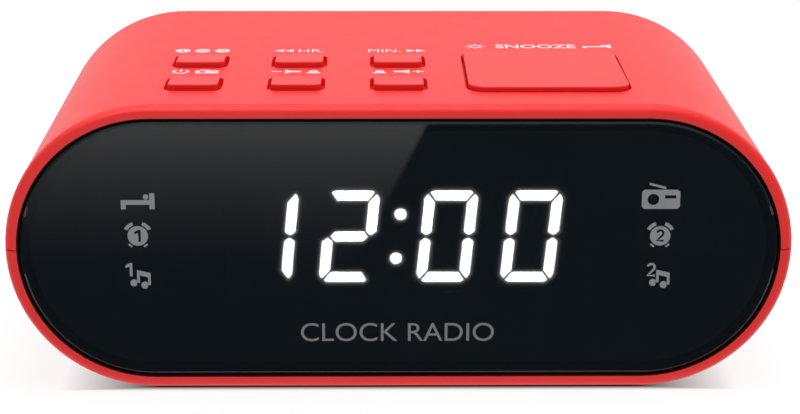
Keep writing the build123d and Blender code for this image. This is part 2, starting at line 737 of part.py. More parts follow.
KEY_BOARD_WIDE = 130.0
KEY_BOARD_DEEP = 44.0
KEY_BOARD_Y = -19.5
with BuildPart() as key_board:
    extrude(plain(level(KEY_BOARD_TOP, 0, KEY_BOARD_Y), KEY_BOARD_WIDE, KEY_BOARD_DEEP),
            amount=-BOARD_THICK)
    extrude(discs(KEY_BOARD_TOP, KEY_POSTS, PILOT_RADIUS + FIT), amount=-BOARD_THICK,
            mode=Mode.SUBTRACT)
save(key_board, "key_board")

with BuildPart() as switch_bodies:
    for x, y in SWITCH_PLACES:
        extrude(plain(level(KEY_BOARD_TOP, x, y), SWITCH_SIDE, SWITCH_SIDE),
                amount=SWITCH_TOP - KEY_BOARD_TOP)
        extrude(disc(level(SWITCH_TOP, x, y), PLUNGER_RADIUS + 0.15), amount=-2.9, mode=Mode.SUBTRACT)
save(switch_bodies, "switch_bodies")

# ------------------------------------------------------------- rear panel

SLOTS = []
for index in range(-SLOTS_EACH_SIDE, SLOTS_EACH_SIDE + 1):
    rise = index * SLOT_PITCH
    if abs(rise) < GRILLE_RADIUS - 2:
        SLOTS.append((rise, 2 * sqrt(GRILLE_RADIUS**2 - rise**2)))

with BuildPart() as rear_panel:
    extrude(stadium(FLANGE_BACK, CAVITY_WIDTH - 2 * FIT, CAVITY_HEIGHT - 2 * FIT),
            amount=-(FLANGE_FACE - FLANGE_BACK))
    extrude(stadium(FLANGE_FACE, OPENING_WIDTH - 2 * FIT, OPENING_HEIGHT - 2 * FIT),
            amount=-(PANEL_OUT - FLANGE_FACE))
    fillet(rear_panel.faces().sort_by(Axis.Y)[-1].edges(), 0.4)
    extrude(stadium(FLANGE_BACK, OPENING_WIDTH - 4.4, OPENING_HEIGHT - 4.4),
            amount=-(PANEL_IN - FLANGE_BACK), mode=Mode.SUBTRACT)
    for rise, length in SLOTS:
        with BuildSketch(across(PANEL_IN, SPEAKER_X, MID_Z + rise)):
            SlotOverall(length, SLOT)
        extrude(amount=-PANEL_THICK, mode=Mode.SUBTRACT)
    extrude(disc(across(PANEL_IN, JACK_X, JACK_Z), JACK_NOSE + FIT), amount=-PANEL_THICK,
            mode=Mode.SUBTRACT)
    extrude(disc(across(PANEL_IN, AERIAL_X, MID_Z), 2.6), amount=-PANEL_THICK, mode=Mode.SUBTRACT)
    # bosses that the loudspeaker is screwed to
    for x, z in SPEAKER_HOLES:
        extrude(disc(across(BASKET_FACE, x, z), POST_RADIUS), amount=BASKET_FACE - PANEL_IN - 0.5)
        extrude(disc(across(BASKET_FACE, x, z), PILOT_RADIUS), amount=-2.0, mode=Mode.SUBTRACT)
    # room for the floor of the battery bay
    extrude(
        plain(across(FLANGE_BACK, BAY_X, STAND + RING - 0.6), DOOR_WIDE + 2 * RAIL + 4.6, 1.5),
        amount=-(FLANGE_FACE - FLANGE_BACK),
        mode=Mode.SUBTRACT,
    )
save(rear_panel, "rear_panel")

with BuildPart() as aerial_grommet:
    with BuildSketch(level(MID_Z, AERIAL_X)):
        with BuildLine():
            Polyline(
                (0.8, PANEL_IN - 1.0),
                (3.8, PANEL_IN - 1.0),
                (3.8, PANEL_IN),
                (2.5, PANEL_IN),
                (2.5, PANEL_OUT),
                (3.8, PANEL_OUT),
                (3.4, PANEL_OUT + 0.5),
                (0.8, PANEL_OUT + 0.5),
                close=True,
            )
        make_face()
    revolve(axis=Axis((AERIAL_X, 0, MID_Z), (0, 1, 0)))
save(aerial_grommet, "aerial_grommet")

# ------------------------------------------------------------ loudspeaker

SPEAKER_AXIS = Axis((SPEAKER_X, 0, MID_Z), (0, 1, 0))


def turned(*points):
    """Solid of revolution about the loudspeaker's axis, from (radius, y) corners."""
    with BuildPart() as shape:
        with BuildSketch(level(MID_Z, SPEAKER_X)):
            with BuildLine():
                Polyline(*points, close=True)
            make_face()
        revolve(axis=SPEAKER_AXIS)
    return shape


RIM_BACK = BASKET_FACE - 1.3
BASKET_BACK = RIM_BACK - 12.0
TOP_PLATE_BACK = BASKET_BACK - 1.4
MAGNET_BACK = TOP_PLATE_BACK - 7.0
YOKE_BACK = MAGNET_BACK - 2.0
COIL_RADIUS = 6.3
CONE_EDGE = 21.6
CONE_FRONT = BASKET_FACE - 1.6
CONE_NECK = BASKET_BACK + 3.0
SPEAKER_FOOT = 15.0
TAG_BACK = 42.5
TAG_X = SPEAKER_X - 23.0
TAG_Z = 40.6
TAG_WIDE = 8.0
TAG_TALL = 5.0
VENT_REACH = 19.6  # from the loudspeaker's axis to each round hole in the back of its basket
VENT_RADIUS = 3.6

save(turned((GASKET_HOLE, PANEL_IN), (GASKET_RADIUS, PANEL_IN), (GASKET_RADIUS, BASKET_FACE),
            (GASKET_HOLE, BASKET_FACE)), "speaker_gasket")

speaker_shell = turned(
    (BASKET_HOLE, BASKET_FACE),
    (SPEAKER_RADIUS, BASKET_FACE),
    (SPEAKER_RADIUS, RIM_BACK),
    (26.0, RIM_BACK),
    (26.0, RIM_BACK - 2.0),
    (SPEAKER_FOOT, BASKET_BACK + 1.0),
    (SPEAKER_FOOT, BASKET_BACK),
    (8.0, BASKET_BACK),
    (8.0, BASKET_BACK + 1.0),
    (14.0, BASKET_BACK + 1.0),
    (BASKET_HOLE, RIM_BACK - 2.0),
)
with BuildPart() as speaker_basket:
    add(speaker_shell.part)
    for angle in range(0, 360, 90):
        vent_x = SPEAKER_X + VENT_REACH * cos(radians(angle))
        vent_z = MID_Z + VENT_REACH * sin(radians(angle))
        extrude(
            disc(across(RIM_BACK - 0.5, vent_x, vent_z), VENT_RADIUS),
            amount=RIM_BACK - BASKET_BACK,
            mode=Mode.SUBTRACT,
        )
    # solder tag for the leads
    extrude(plain(across(TAG_BACK, TAG_X, TAG_Z), TAG_WIDE, TAG_TALL), amount=-1.2)
    for x, z in SPEAKER_HOLES:
        extrude(disc(across(RIM_BACK, x, z), EAR_RADIUS), amount=RIM_BACK - BASKET_FACE)
        extrude(disc(across(RIM_BACK, x, z), PILOT_RADIUS), amount=RIM_BACK - BASKET_FACE,
                mode=Mode.SUBTRACT)
save(speaker_basket, "speaker_basket")

save(turned((7.0, BASKET_BACK), (14.5, BASKET_BACK), (14.5, TOP_PLATE_BACK), (7.0, TOP_PLATE_BACK)),
     "magnet_plate")
save(turned((8.0, TOP_PLATE_BACK), (16.0, TOP_PLATE_BACK), (16.0, MAGNET_BACK), (8.0, MAGNET_BACK)),
     "speaker_magnet")
save(turned((0, YOKE_BACK), (15.0, YOKE_BACK), (15.0, MAGNET_BACK), (5.4, MAGNET_BACK),
            (5.4, BASKET_BACK), (0, BASKET_BACK)), "magnet_yoke")
save(turned((5.9, MAGNET_BACK + 2.5), (COIL_RADIUS, MAGNET_BACK + 2.5), (COIL_RADIUS, CONE_NECK + 0.6),
            (5.9, CONE_NECK + 0.6)), "voice_coil")
save(turned((COIL_RADIUS, CONE_NECK), (CONE_EDGE, CONE_FRONT - 0.5), (CONE_EDGE, CONE_FRONT),
            (COIL_RADIUS, CONE_NECK + 0.6)), "speaker_cone")

ROLL = (GASKET_HOLE - CONE_EDGE) / 2
ROLL_THICK = 0.4
ROLL_MID = CONE_EDGE + ROLL
ROLL_FOOT = CONE_FRONT - ROLL_THICK
with BuildPart() as cone_surround:
    with BuildSketch(level(MID_Z, SPEAKER_X)):
        with BuildLine():
            outer = ThreePointArc((CONE_EDGE, ROLL_FOOT), (ROLL_MID, ROLL_FOOT + ROLL),
                                  (GASKET_HOLE, ROLL_FOOT))
            inner = ThreePointArc((CONE_EDGE + ROLL_THICK, ROLL_FOOT),
                                  (ROLL_MID, ROLL_FOOT + ROLL - ROLL_THICK),
                                  (GASKET_HOLE - ROLL_THICK, ROLL_FOOT))
            Line(outer @ 0, inner @ 0)
            Line(outer @ 1, inner @ 1)
        make_face()
    revolve(axis=SPEAKER_AXIS)
save(cone_surround, "cone_surround")

with BuildPart() as dust_cap:
    cap_y = CONE_NECK + 1.6
    with BuildSketch(level(MID_Z, SPEAKER_X)):
        with BuildLine():
            bulge = ThreePointArc((0, cap_y + 2.6), (4.6, cap_y + 1.8), (8.0, cap_y))
            hollow = ThreePointArc((0, cap_y + 2.2), (4.4, cap_y + 1.45), (7.5, cap_y - 0.2))
            Line(bulge @ 0, hollow @ 0)
            Line(bulge @ 1, hollow @ 1)
        make_face()
    revolve(axis=SPEAKER_AXIS)
save(dust_cap, "dust_cap")


def screw(head_radius, head_tall, shank_radius, shank_long):
    """Pan-head screw that points up, with its head's underside at Z = 0 and a slot below."""
    with BuildPart() as one:
        extrude(disc(level(-head_tall), head_radius), amount=head_tall)
        fillet(one.edges().group_by(Axis.Z)[0], head_tall / 3)
        extrude(disc(level(0), shank_radius), amount=shank_long)
        for wide, deep in ((head_radius * 1.1, head_radius * 0.3), (head_radius * 0.3, head_radius * 1.1)):
            extrude(plain(level(-head_tall), wide, deep), amount=head_tall * 0.5, mode=Mode.SUBTRACT)
    return one.part


def screws(places, head_radius, head_tall, shank_radius, shank_long):
    """A group of equal screws; each place is a location that turns +Z into the way it points."""
    one = screw(head_radius, head_tall, shank_radius, shank_long)
    with BuildPart() as group:
        for place in places:
            add(place * one)
    return group


UP = (0, 0, 0)
DOWN = (180, 0, 0)
FORWARD = (90, 0, 0)
REARWARD = (-90, 0, 0)

case_places = [Location((x, y, COUNTERBORE_TOP), UP) for x, y in CASE_SCREWS]
save(screws(case_places, 2.5, 2.0, CASE_PILOT - THREAD_CLEARANCE, 22.0), "case_screws")
board_places = [Location((x, y, MAIN_TOP), DOWN) for x, y in MAIN_POSTS]
board_places += [Location((x, y, KEY_BOARD_TOP - BOARD_THICK), UP) for x, y in KEY_POSTS]
board_places += [Location((x, CLOCK_BOARD_BACK, MID_Z + rise), FORWARD) for x, rise in CLOCK_SCREWS]
save(screws(board_places, 2.0, 1.4, SCREW_RADIUS, 6.0), "board_screws")
speaker_places = [Location((x, RIM_BACK, z), REARWARD) for x, z in SPEAKER_HOLES]
save(screws(speaker_places, 1.8, 1.3, SCREW_RADIUS, 3.0), "speaker_screws")

with BuildPart() as feet:
    extrude(discs(0, FEET, FOOT_RADIUS), amount=BOTTOM_Z + FOOT_SUNK)
    fillet(feet.edges().group_by(Axis.Z)[0], 0.3)
save(feet, "feet")

# ------------------------------------------------------------- main board

MAIN_WIDE = MAIN_RIGHT - MAIN_LEFT
MAIN_DEEP = MAIN_REAR - MAIN_FRONT
MAIN_X = (MAIN_LEFT + MAIN_RIGHT) / 2
MAIN_Y = (MAIN_FRONT + MAIN_REAR) / 2

with BuildPart() as main_board:
    extrude(plain(level(MAIN_TOP, MAIN_X, MAIN_Y), MAIN_WIDE, MAIN_DEEP), amount=-BOARD_THICK)
    extrude(discs(MAIN_TOP, MAIN_POSTS, PILOT_RADIUS + FIT), amount=-BOARD_THICK, mode=Mode.SUBTRACT)
save(main_board, "main_board")


def packaged_chip(x, y, side, legs):
    """Square chip with a row of legs along two sides, on the main board."""
    with BuildPart() as chip:
        extrude(plain(level(MAIN_TOP, x, y), side, side), amount=CHIP_TALL)
        for way in (-1, 1):
            for leg in range(legs):
                leg_y = y + (leg - (legs - 1) / 2) * (side - 1.0) / legs
                leg_x = x + way * (side + LEG_LONG) / 2
                extrude(plain(level(MAIN_TOP, leg_x, leg_y), LEG_LONG, FINE_LEG_WIDE), amount=LEG_TALL)
    return chip.part


# x, y, side and legs on each of two sides: the processor, the tuner and the amplifier
CHIPS = ((-18.0, -12.0, 12.0, 10), (2.0, -8.0, 7.0, 6), (-18.0, 8.0, 6.0, 4))
FINE_LEG_WIDE = 0.45
with BuildPart() as board_chips:
    for place in CHIPS:
        add(packaged_chip(*place))
    # quartz crystal can
    extrude(rounded(level(MAIN_TOP, -4.0, -20.0), 10.6, 4.4, 2.1), amount=3.4)
save(board_chips, "board_chips")

SHIELD_PLACE = level(MAIN_TOP, -45.0, -12.0)
SHIELD_WIDE = 24.0
SHIELD_DEEP = 18.0
SHIELD_TALL = 6.0
SHEET = 0.4
with BuildPart() as tuner_shield:
    extrude(rounded(SHIELD_PLACE, SHIELD_WIDE, SHIELD_DEEP, 1.0), amount=SHIELD_TALL)
    extrude(rounded(SHIELD_PLACE, SHIELD_WIDE - 2 * SHEET, SHIELD_DEEP - 2 * SHEET, 1.0 - SHEET),
            amount=SHIELD_TALL - SHEET, mode=Mode.SUBTRACT)
save(tuner_shield, "tuner_shield")

# x, y, radius and height
CAPACITORS = ((-36.0, 10.0, 3.15, 8.0), (-28.0, 10.0, 3.15, 8.0), (-36.0, 22.0, 4.0, 12.0),
              (2.0, 6.0, 2.5, 6.0), (9.0, 6.0, 2.5, 6.0))
with BuildPart() as capacitors:
    for x, y, radius, tall in CAPACITORS:
        extrude(disc(level(MAIN_TOP, x, y), radius), amount=tall)
    tops = capacitors.edges().filter_by(GeomType.CIRCLE).filter_by(lambda e: e.center().Z > MAIN_TOP + 1)
    fillet(tops, 0.4)
save(capacitors, "capacitors")

SOCKET_TALL = 5.0
SOCKET_WALL = 0.7
# x, y, width and depth
SOCKETS = (
    (-30.0, -26.5, 10.0, 4.0),
    (3.5, -26.5, 10.0, 4.0),
    (-8.0, 24.0, 8.0, 4.0),
    (3.0, 24.0, 4.0, 8.0),
)
with BuildPart() as board_sockets:
    for x, y, wide, deep in SOCKETS:
        extrude(plain(level(MAIN_TOP, x, y), wide, deep), amount=SOCKET_TALL)
        extrude(
            plain(level(MAIN_TOP + SOCKET_TALL, x, y), wide - 2 * SOCKET_WALL, deep - 2 * SOCKET_WALL),
            amount=1.4 - SOCKET_TALL,
            mode=Mode.SUBTRACT,
        )
save(board_sockets, "board_sockets")

JACK_FRONT = 36.0
JACK_BLOCK_BACK = PANEL_IN - FIT
JACK_FACE = PANEL_OUT - 0.3
JACK_HOLE_DEEP = 9.5
with BuildPart() as power_socket:
    extrude(plain(across(JACK_FRONT, JACK_X, JACK_Z), 9.0, 2 * (JACK_Z - MAIN_TOP)),
            amount=-(JACK_BLOCK_BACK - JACK_FRONT))
    extrude(disc(across(JACK_BLOCK_BACK, JACK_X, JACK_Z), JACK_NOSE), amount=-(JACK_FACE - JACK_BLOCK_BACK))
    extrude(disc(across(JACK_FACE, JACK_X, JACK_Z), JACK_BORE), amount=JACK_HOLE_DEEP, mode=Mode.SUBTRACT)
save(power_socket, "power_socket")

with BuildPart() as socket_pin:
    extrude(disc(across(JACK_FACE - 0.8, JACK_X, JACK_Z), 1.0), amount=JACK_HOLE_DEEP - 0.8)
save(socket_pin, "socket_pin")

# ------------------------------------------------------- leads and ribbons

LEAD_RADIUS = 0.55
LEAD_PITCH = 2.6
LEAD_END_Z = MAIN_TOP + 1.6


def bend_radii(route):
    """Arc at each corner of a route: as large as its two runs allow."""
    radii = []
    for before, corner, after in zip(route, route[1:], route[2:]):
        arriving = Vector(*corner) - Vector(*before)
        leaving = Vector(*after) - Vector(*corner)
        turn = radians(arriving.get_angle(leaving))
        radii.append(0.45 * min(arriving.length, leaving.length) / tan(turn / 2))
    return radii


def smooth_path(route):
    """Straight runs joined by arcs."""
    with BuildLine() as path:
        FilletPolyline(*route, radius=bend_radii(route))
    return path.wire()


def leads(routes, name):
    """A group of round leads; prints each one's length and how its volume compares with it."""
    with BuildPart() as group:
        for route in routes:
            path = smooth_path(route)
            with BuildSketch(Plane(path @ 0, z_dir=path % 0)) as section:
                Circle(LEAD_RADIUS)
            wire = sweep(section.sketch, path=path, mode=Mode.PRIVATE)
            add(wire)
            share = wire.volume / (pi * LEAD_RADIUS**2 * path.length)
            print(name, "length", round(path.length, 1), "volume share", round(share, 3),
                  "radii", [round(r, 1) for r in bend_radii(route)])
    save(group, name)


def ribbon(route, name):
    """A flat ribbon that bends only up and down and to front and rear."""
    path = smooth_path(route)
    with BuildPart() as strip:
        with BuildSketch(Plane(path @ 0, x_dir=(1, 0, 0), z_dir=path % 0)) as section:
            Rectangle(RIBBON_WIDE, RIBBON_THICK)
        sweep(section.sketch, path=path)
    share = strip.part.volume / (RIBBON_WIDE * RIBBON_THICK * path.length)
    print(name, "length", round(path.length, 1), "volume share", round(share, 3),
          "radii", [round(r, 1) for r in bend_radii(route)])
    save(strip, name)


def shifted(route, x, y, z):
    """The same route moved by (x, y, z)."""
    return [(px + x, py + y, pz + z) for px, py, pz in route]


SPEAKER_LEAD = (
    (-6.7, 24.0, LEAD_END_Z),
    (-6.7, 24.0, 30.0),
    (-1.0, 22.5, 37.0),
    (8.5, 20.5, 40.5),
    (18.0, 22.0, 42.0),
    (25.0, 27.5, 41.5),
    (27.6, 34.5, 40.3),
    (27.6, TAG_BACK, 40.0),
)
leads((SPEAKER_LEAD, shifted(SPEAKER_LEAD, -LEAD_PITCH, 0, 1.5)), "speaker_leads")

BATTERY_LEAD = (
    (BAY_RIGHT + BAY_WALL + 0.1, 22.7, 9.0),
    (14.4, 22.7, 9.3),
    (18.4, 22.7, 13.0),
    (19.6, 22.7, 18.5),
    (18.4, 22.7, 25.0),
    (13.2, 22.7, 29.5),
    (6.6, 22.7, 29.6),
    (3.2, 22.7, 26.4),
    (3.0, 22.7, LEAD_END_Z),
)
leads((BATTERY_LEAD, shifted(BATTERY_LEAD, 0, LEAD_PITCH, 0)), "battery_leads")

RIBBON_WIDE = 8.0
RIBBON_THICK = 0.3
KEY_RIBBON = (
    (-30.0, -26.5, LEAD_END_Z),
    (-30.0, -26.5, 30.0),
    (-30.0, -23.5, 38.5),
    (-30.0, -24.5, 48.0),
    (-30.0, -27.5, KEY_BOARD_TOP - BOARD_THICK - 0.1),
)
ribbon(KEY_RIBBON, "key_ribbon")
CLOCK_RIBBON = (
    (3.5, CLOCK_BOARD_BACK, 33.0),
    (3.5, -36.0, 33.4),
    (3.5, -30.0, 32.6),
    (3.5, -26.8, 28.4),
    (3.5, -26.5, LEAD_END_Z),
)
ribbon(CLOCK_RIBBON, "clock_ribbon")
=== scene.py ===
import json
from math import cos, exp, pi, radians, sin

import bmesh
import bpy
from mathutils import Euler, Matrix, Vector
from mathutils.bvhtree import BVHTree


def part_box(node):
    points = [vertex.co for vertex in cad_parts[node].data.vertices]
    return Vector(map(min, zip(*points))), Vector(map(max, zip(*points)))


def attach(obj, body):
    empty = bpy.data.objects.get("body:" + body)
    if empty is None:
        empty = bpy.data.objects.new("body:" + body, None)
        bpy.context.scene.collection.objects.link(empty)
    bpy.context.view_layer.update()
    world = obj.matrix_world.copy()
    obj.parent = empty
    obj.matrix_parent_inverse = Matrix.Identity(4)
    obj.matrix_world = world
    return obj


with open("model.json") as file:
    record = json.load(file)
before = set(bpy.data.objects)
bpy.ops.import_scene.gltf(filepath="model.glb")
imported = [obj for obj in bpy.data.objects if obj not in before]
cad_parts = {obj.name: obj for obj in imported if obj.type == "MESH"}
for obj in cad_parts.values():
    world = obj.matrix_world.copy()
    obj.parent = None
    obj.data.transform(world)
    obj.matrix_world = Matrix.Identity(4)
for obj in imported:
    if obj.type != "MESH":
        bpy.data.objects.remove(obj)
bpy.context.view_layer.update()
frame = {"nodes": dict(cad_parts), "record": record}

# The looks of a bedside clock radio: a red case with round ends, a smoked window over an
# LED clock, white printed legends on top and grey printed symbols on the window. Metres,
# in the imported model's frame: X to the right, Y to the rear, Z up.

MM = 0.001
NODES = frame["nodes"]
SLOTS = {piece["node"]: piece["material_slot"] for piece in frame["record"]["subparts"]}

WINDOW_LOW, WINDOW_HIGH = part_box("display_window")
SHELL_LOW, SHELL_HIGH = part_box("upper_shell")
LOWER_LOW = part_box("lower_shell")[0]
MID_Z = (SHELL_HIGH.z + LOWER_LOW.z) / 2
TOP_Z = SHELL_HIGH.z - 0.1 * MM  # the flat top is this much below the front lip

# Studio
CAMERA_AT = (-0.00586, -0.51786, 0.19393)
CAMERA_YAW = radians(0.690)
CAMERA_DOWN = radians(17.575)
CAMERA_ROLL = radians(-0.150)
CAMERA_LENS = 93.77
WORLD_FRONT = 0.22  # strength of the world's light from the front
WORLD_BACK = 0.80  # and from behind
WORLD_TOP = 0.90  # and from straight above
WORLD_BEHIND = (-0.3, 0.6)  # it rises from front to back over this range of the direction's Y
WORLD_ABOVE = (0.5, 0.95)  # and to the top over this range of its Z
WORLD_SEEN = 0.97  # least strength where the camera looks straight at it
FLOOR_SIZE = 8.0
FLOOR_Y = 1.0  # the middle of the floor, behind the radio
FLOOR_GLOW = 0.88
PAINTED_SHADE_INSET = 3.4 * MM  # the painted shadow under the case begins to clear this far inside its face
PAINTED_SHADE_REACH = 2.3 * MM  # and is gone over this length
PAINTED_SHADE_ENDS = 24 * MM  # the same under the case's round ends

# The pale table that the window reflects: its own place, then where it is pale
TABLE_AT = Vector((0, -0.515, 0.0005))
TABLE_PALE_Y = -0.300  # fully pale in front of this
TABLE_DARK_Y = -0.135  # dark behind this, nearer to the radio
TABLE_FALL = 1.65  # power by which it darkens between the two
TABLE_EDGE_X = 0.0118  # the pale part ends here on the right, at TABLE_EDGE_Y
TABLE_EDGE_Y = -0.290
TABLE_SLANT = 0.165  # how far that edge leans to the left for each metre to the rear
TABLE_SOFT = 0.001  # half the width over which it ends

# The softbox that the case reflects
SOFTBOX_AT = Vector((0, -0.38, 1.0))
SOFTBOX_FULL_X = -0.08  # full strength to the left of this
SOFTBOX_NONE_X = 0.24  # and none to the right of this
SOFTBOX_GLOW = 5.0


# ------------------------------------------------------------------ node helpers


def new_material(name):
    """A material with an empty tree, its Principled shader and its output."""
    material = bpy.data.materials.new(name)
    material.use_nodes = True
    tree = material.node_tree
    tree.nodes.clear()
    output = tree.nodes.new("ShaderNodeOutputMaterial")
    shader = tree.nodes.new("ShaderNodeBsdfPrincipled")
    tree.links.new(shader.outputs["BSDF"], output.inputs["Surface"])
    return material, tree, shader


def place(tree):
    """Coordinates of the piece itself, in metres."""
    return tree.nodes.new("ShaderNodeTexCoord").outputs["Object"]


def noise(tree, where, size, detail=2.0, stretch=None):
    """Noise whose features are about size metres across; stretch scales its three axes."""
    if stretch is not None:
        mapping = tree.nodes.new("ShaderNodeMapping")
        mapping.inputs["Scale"].default_value = stretch
        tree.links.new(where, mapping.inputs["Vector"])
        where = mapping.outputs["Vector"]
    texture = tree.nodes.new("ShaderNodeTexNoise")
    texture.inputs["Scale"].default_value = 1 / size
    texture.inputs["Detail"].default_value = detail
    tree.links.new(where, texture.inputs["Vector"])
    return texture.outputs["Fac"]


def ramp(tree, value, low, high, to_low, to_high):
    """value from low..high to to_low..to_high, held at the ends."""
    node = tree.nodes.new("ShaderNodeMapRange")
    node.inputs["From Min"].default_value = low
    node.inputs["From Max"].default_value = high
    node.inputs["To Min"].default_value = to_low
    node.inputs["To Max"].default_value = to_high
    tree.links.new(value, node.inputs["Value"])
    return node.outputs["Result"]


def spread(tree, value, to_low=0.0, to_high=1.0):
    """Noise, most of which lies from 0.3 to 0.7, spread over to_low to to_high."""
    return ramp(tree, value, 0.3, 0.7, to_low, to_high)


def math(tree, operation, first, second):
    """A Math node on two values, each a socket or a number."""
    node = tree.nodes.new("ShaderNodeMath")
    node.operation = operation
    for slot, value in enumerate((first, second)):
        if isinstance(value, (int, float)):
            node.inputs[slot].default_value = value
        else:
            tree.links.new(value, node.inputs[slot])
    return node.outputs["Value"]


def blend_colours(tree, share, first, second):
    """first where share is 0 and second where it is 1; each a colour or a socket."""
    node = tree.nodes.new("ShaderNodeMix")
    node.data_type = "RGBA"
    tree.links.new(share, node.inputs["Factor"])
    for name, colour in (("A", first), ("B", second)):
        socket = [s for s in node.inputs if s.name == name and s.type == "RGBA"][0]
        if isinstance(colour, tuple):
            socket.default_value = (*colour, 1)
        else:
            tree.links.new(colour, socket)
    return [s for s in node.outputs if s.type == "RGBA"][0]


def bump(tree, shader, height, depth):
    """Relief of the given depth in metres where height runs from 0 to 1."""
    node = tree.nodes.new("ShaderNodeBump")
    node.inputs["Strength"].default_value = 1.0
    node.inputs["Distance"].default_value = depth
    tree.links.new(height, node.inputs["Height"])
    tree.links.new(node.outputs["Normal"], shader.inputs["Normal"])


def shade(colour, factor):
    """A colour made lighter or darker."""
    return tuple(min(1.0, channel * factor) for channel in colour)


# --------------------------------------------------------------------- materials


def moulded(name, colour, rough, grain=0.35 * MM, relief=0.004 * MM, tone=0.05, specular=0.5):
    """Moulded stock: fine grain, soft blotches of tone and uneven gloss."""
    material, tree, shader = new_material(name)
    where = place(tree)
    blotch = noise(tree, where, 9 * MM, 3.0)
    shade_of = blend_colours(tree, spread(tree, blotch), shade(colour, 1 - tone), shade(colour, 1 + tone))
    tree.links.new(shade_of, shader.inputs["Base Color"])
    handled = noise(tree, where, 4 * MM, 4.0)
    tree.links.new(spread(tree, handled, rough - 0.05, rough + 0.05), shader.inputs["Roughness"])
    bump(tree, shader, noise(tree, where, grain, 2.0), relief)
    shader.inputs["Specular IOR Level"].default_value = specular
    return material


RED = (0.86, 0.022, 0.022)


def red_plastic(name, colour, rough, relief):
    """Satin red case plastic: spark-eroded grain, faint mottling and slight handling gloss."""
    material, tree, shader = new_material(name)
    where = place(tree)
    mottle = noise(tree, where, 1.6 * MM, 3.0)
    cloud = noise(tree, where, 30 * MM, 2.0)
    mixed = math(tree, "ADD", math(tree, "MULTIPLY", mottle, 0.5), math(tree, "MULTIPLY", cloud, 0.5))
    tone = blend_colours(tree, ramp(tree, mixed, 0.35, 0.65, 0.0, 1.0),
                         shade(colour, 0.985), shade(colour, 1.015))
    tree.links.new(tone, shader.inputs["Base Color"])
    gloss = noise(tree, where, 7 * MM, 4.0)
    tree.links.new(spread(tree, gloss, rough - 0.012, rough + 0.016), shader.inputs["Roughness"])
    shader.inputs["IOR"].default_value = 1.5
    shader.inputs["Specular IOR Level"].default_value = 0.36
    grain = noise(tree, where, 0.32 * MM, 3.0)
    bump(tree, shader, grain, relief)
    return material


def smoked_acrylic(name):
    """Dark see-through acrylic, polished, with faint wiping marks."""
    material, tree, shader = new_material(name)
    where = place(tree)
    haze = noise(tree, where, 22 * MM, 3.0)
    tint = blend_colours(tree, spread(tree, haze), (0.038, 0.055, 0.071), (0.041, 0.060, 0.077))
    tree.links.new(tint, shader.inputs["Base Color"])
    wipes = noise(tree, where, 3 * MM, 5.0, (1.0, 1.0, 0.12))
    tree.links.new(ramp(tree, wipes, 0.45, 0.8, 0.015, 0.04), shader.inputs["Roughness"])
    shader.inputs["Transmission Weight"].default_value = 0.86
    shader.inputs["IOR"].default_value = 1.49
    return material


def lit_plastic(name, colour, strength):
    """White light through a cast diffuser: a little uneven across each bar."""
    material, tree, shader = new_material(name)
    where = place(tree)
    uneven = noise(tree, where, 1.2 * MM, 1.0)
    tone = blend_colours(tree, spread(tree, uneven), shade(colour, 0.93), colour)
    tree.links.new(tone, shader.inputs["Base Color"])
    tree.links.new(tone, shader.inputs["Emission Color"])
    shader.inputs["Emission Strength"].default_value = strength
    shader.inputs["Roughness"].default_value = 0.6
    return material


def brushed(name, colour, rough):
    """Rolled or plated sheet with fine parallel marks."""
    material, tree, shader = new_material(name)
    where = place(tree)
    lines = noise(tree, where, 0.5 * MM, 4.0, (0.05, 1.0, 1.0))
    stains = noise(tree, where, 5 * MM, 3.0)
    tone = blend_colours(tree, ramp(tree, stains, 0.35, 0.75, 0.0, 1.0), colour, shade(colour, 0.82))
    tree.links.new(tone, shader.inputs["Base Color"])
    tree.links.new(spread(tree, lines, rough - 0.08, rough + 0.08), shader.inputs["Roughness"])
    bump(tree, shader, lines, 0.006 * MM)
    shader.inputs["Metallic"].default_value = 1.0
    return material


def circuit_board(name):
    """Green solder mask, paler and raised where it covers the tracks."""
    material, tree, shader = new_material(name)
    where = place(tree)
    cells = tree.nodes.new("ShaderNodeTexVoronoi")
    cells.distance = "MANHATTAN"
    cells.feature = "DISTANCE_TO_EDGE"
    cells.inputs["Scale"].default_value = 1 / (4 * MM)
    tree.links.new(where, cells.inputs["Vector"])
    track = ramp(tree, cells.outputs["Distance"], 0.06, 0.09, 1.0, 0.0)
    mask = blend_colours(tree, noise(tree, where, 6 * MM), (0.012, 0.085, 0.035), (0.018, 0.11, 0.045))
    tree.links.new(blend_colours(tree, track, mask, (0.05, 0.22, 0.07)), shader.inputs["Base Color"])
    tree.links.new(ramp(tree, track, 0.0, 1.0, 0.42, 0.28), shader.inputs["Roughness"])
    bump(tree, shader, track, 0.03 * MM)
    return material


def pressed_fibre(name, colour):
    """Pressed paper of a loudspeaker cone: short fibres and a dull face."""
    material, tree, shader = new_material(name)
    where = place(tree)
    fibres = noise(tree, where, 0.6 * MM, 5.0, (1.0, 1.0, 0.25))
    tone = blend_colours(tree, fibres, shade(colour, 0.7), shade(colour, 1.5))
    tree.links.new(tone, shader.inputs["Base Color"])
    tree.links.new(spread(tree, fibres, 0.8, 0.95), shader.inputs["Roughness"])
    bump(tree, shader, fibres, 0.05 * MM)
    return material


def foam(name, colour):
    """Open-cell foam: small pores, sunk by the bump and darkened with painted shade."""
    material, tree, shader = new_material(name)
    where = place(tree)
    pores = tree.nodes.new("ShaderNodeTexVoronoi")
    pores.inputs["Scale"].default_value = 1 / (0.5 * MM)
    tree.links.new(where, pores.inputs["Vector"])
    depth = ramp(tree, pores.outputs["Distance"], 0.1, 0.5, 0.0, 1.0)
    # painted shade: the colour is darker towards each pore's middle, where it is sunk
    tree.links.new(blend_colours(tree, depth, shade(colour, 0.4), colour), shader.inputs["Base Color"])
    tree.links.new(ramp(tree, depth, 0.0, 1.0, 0.85, 1.0), shader.inputs["Roughness"])
    bump(tree, shader, depth, 0.08 * MM)
    return material


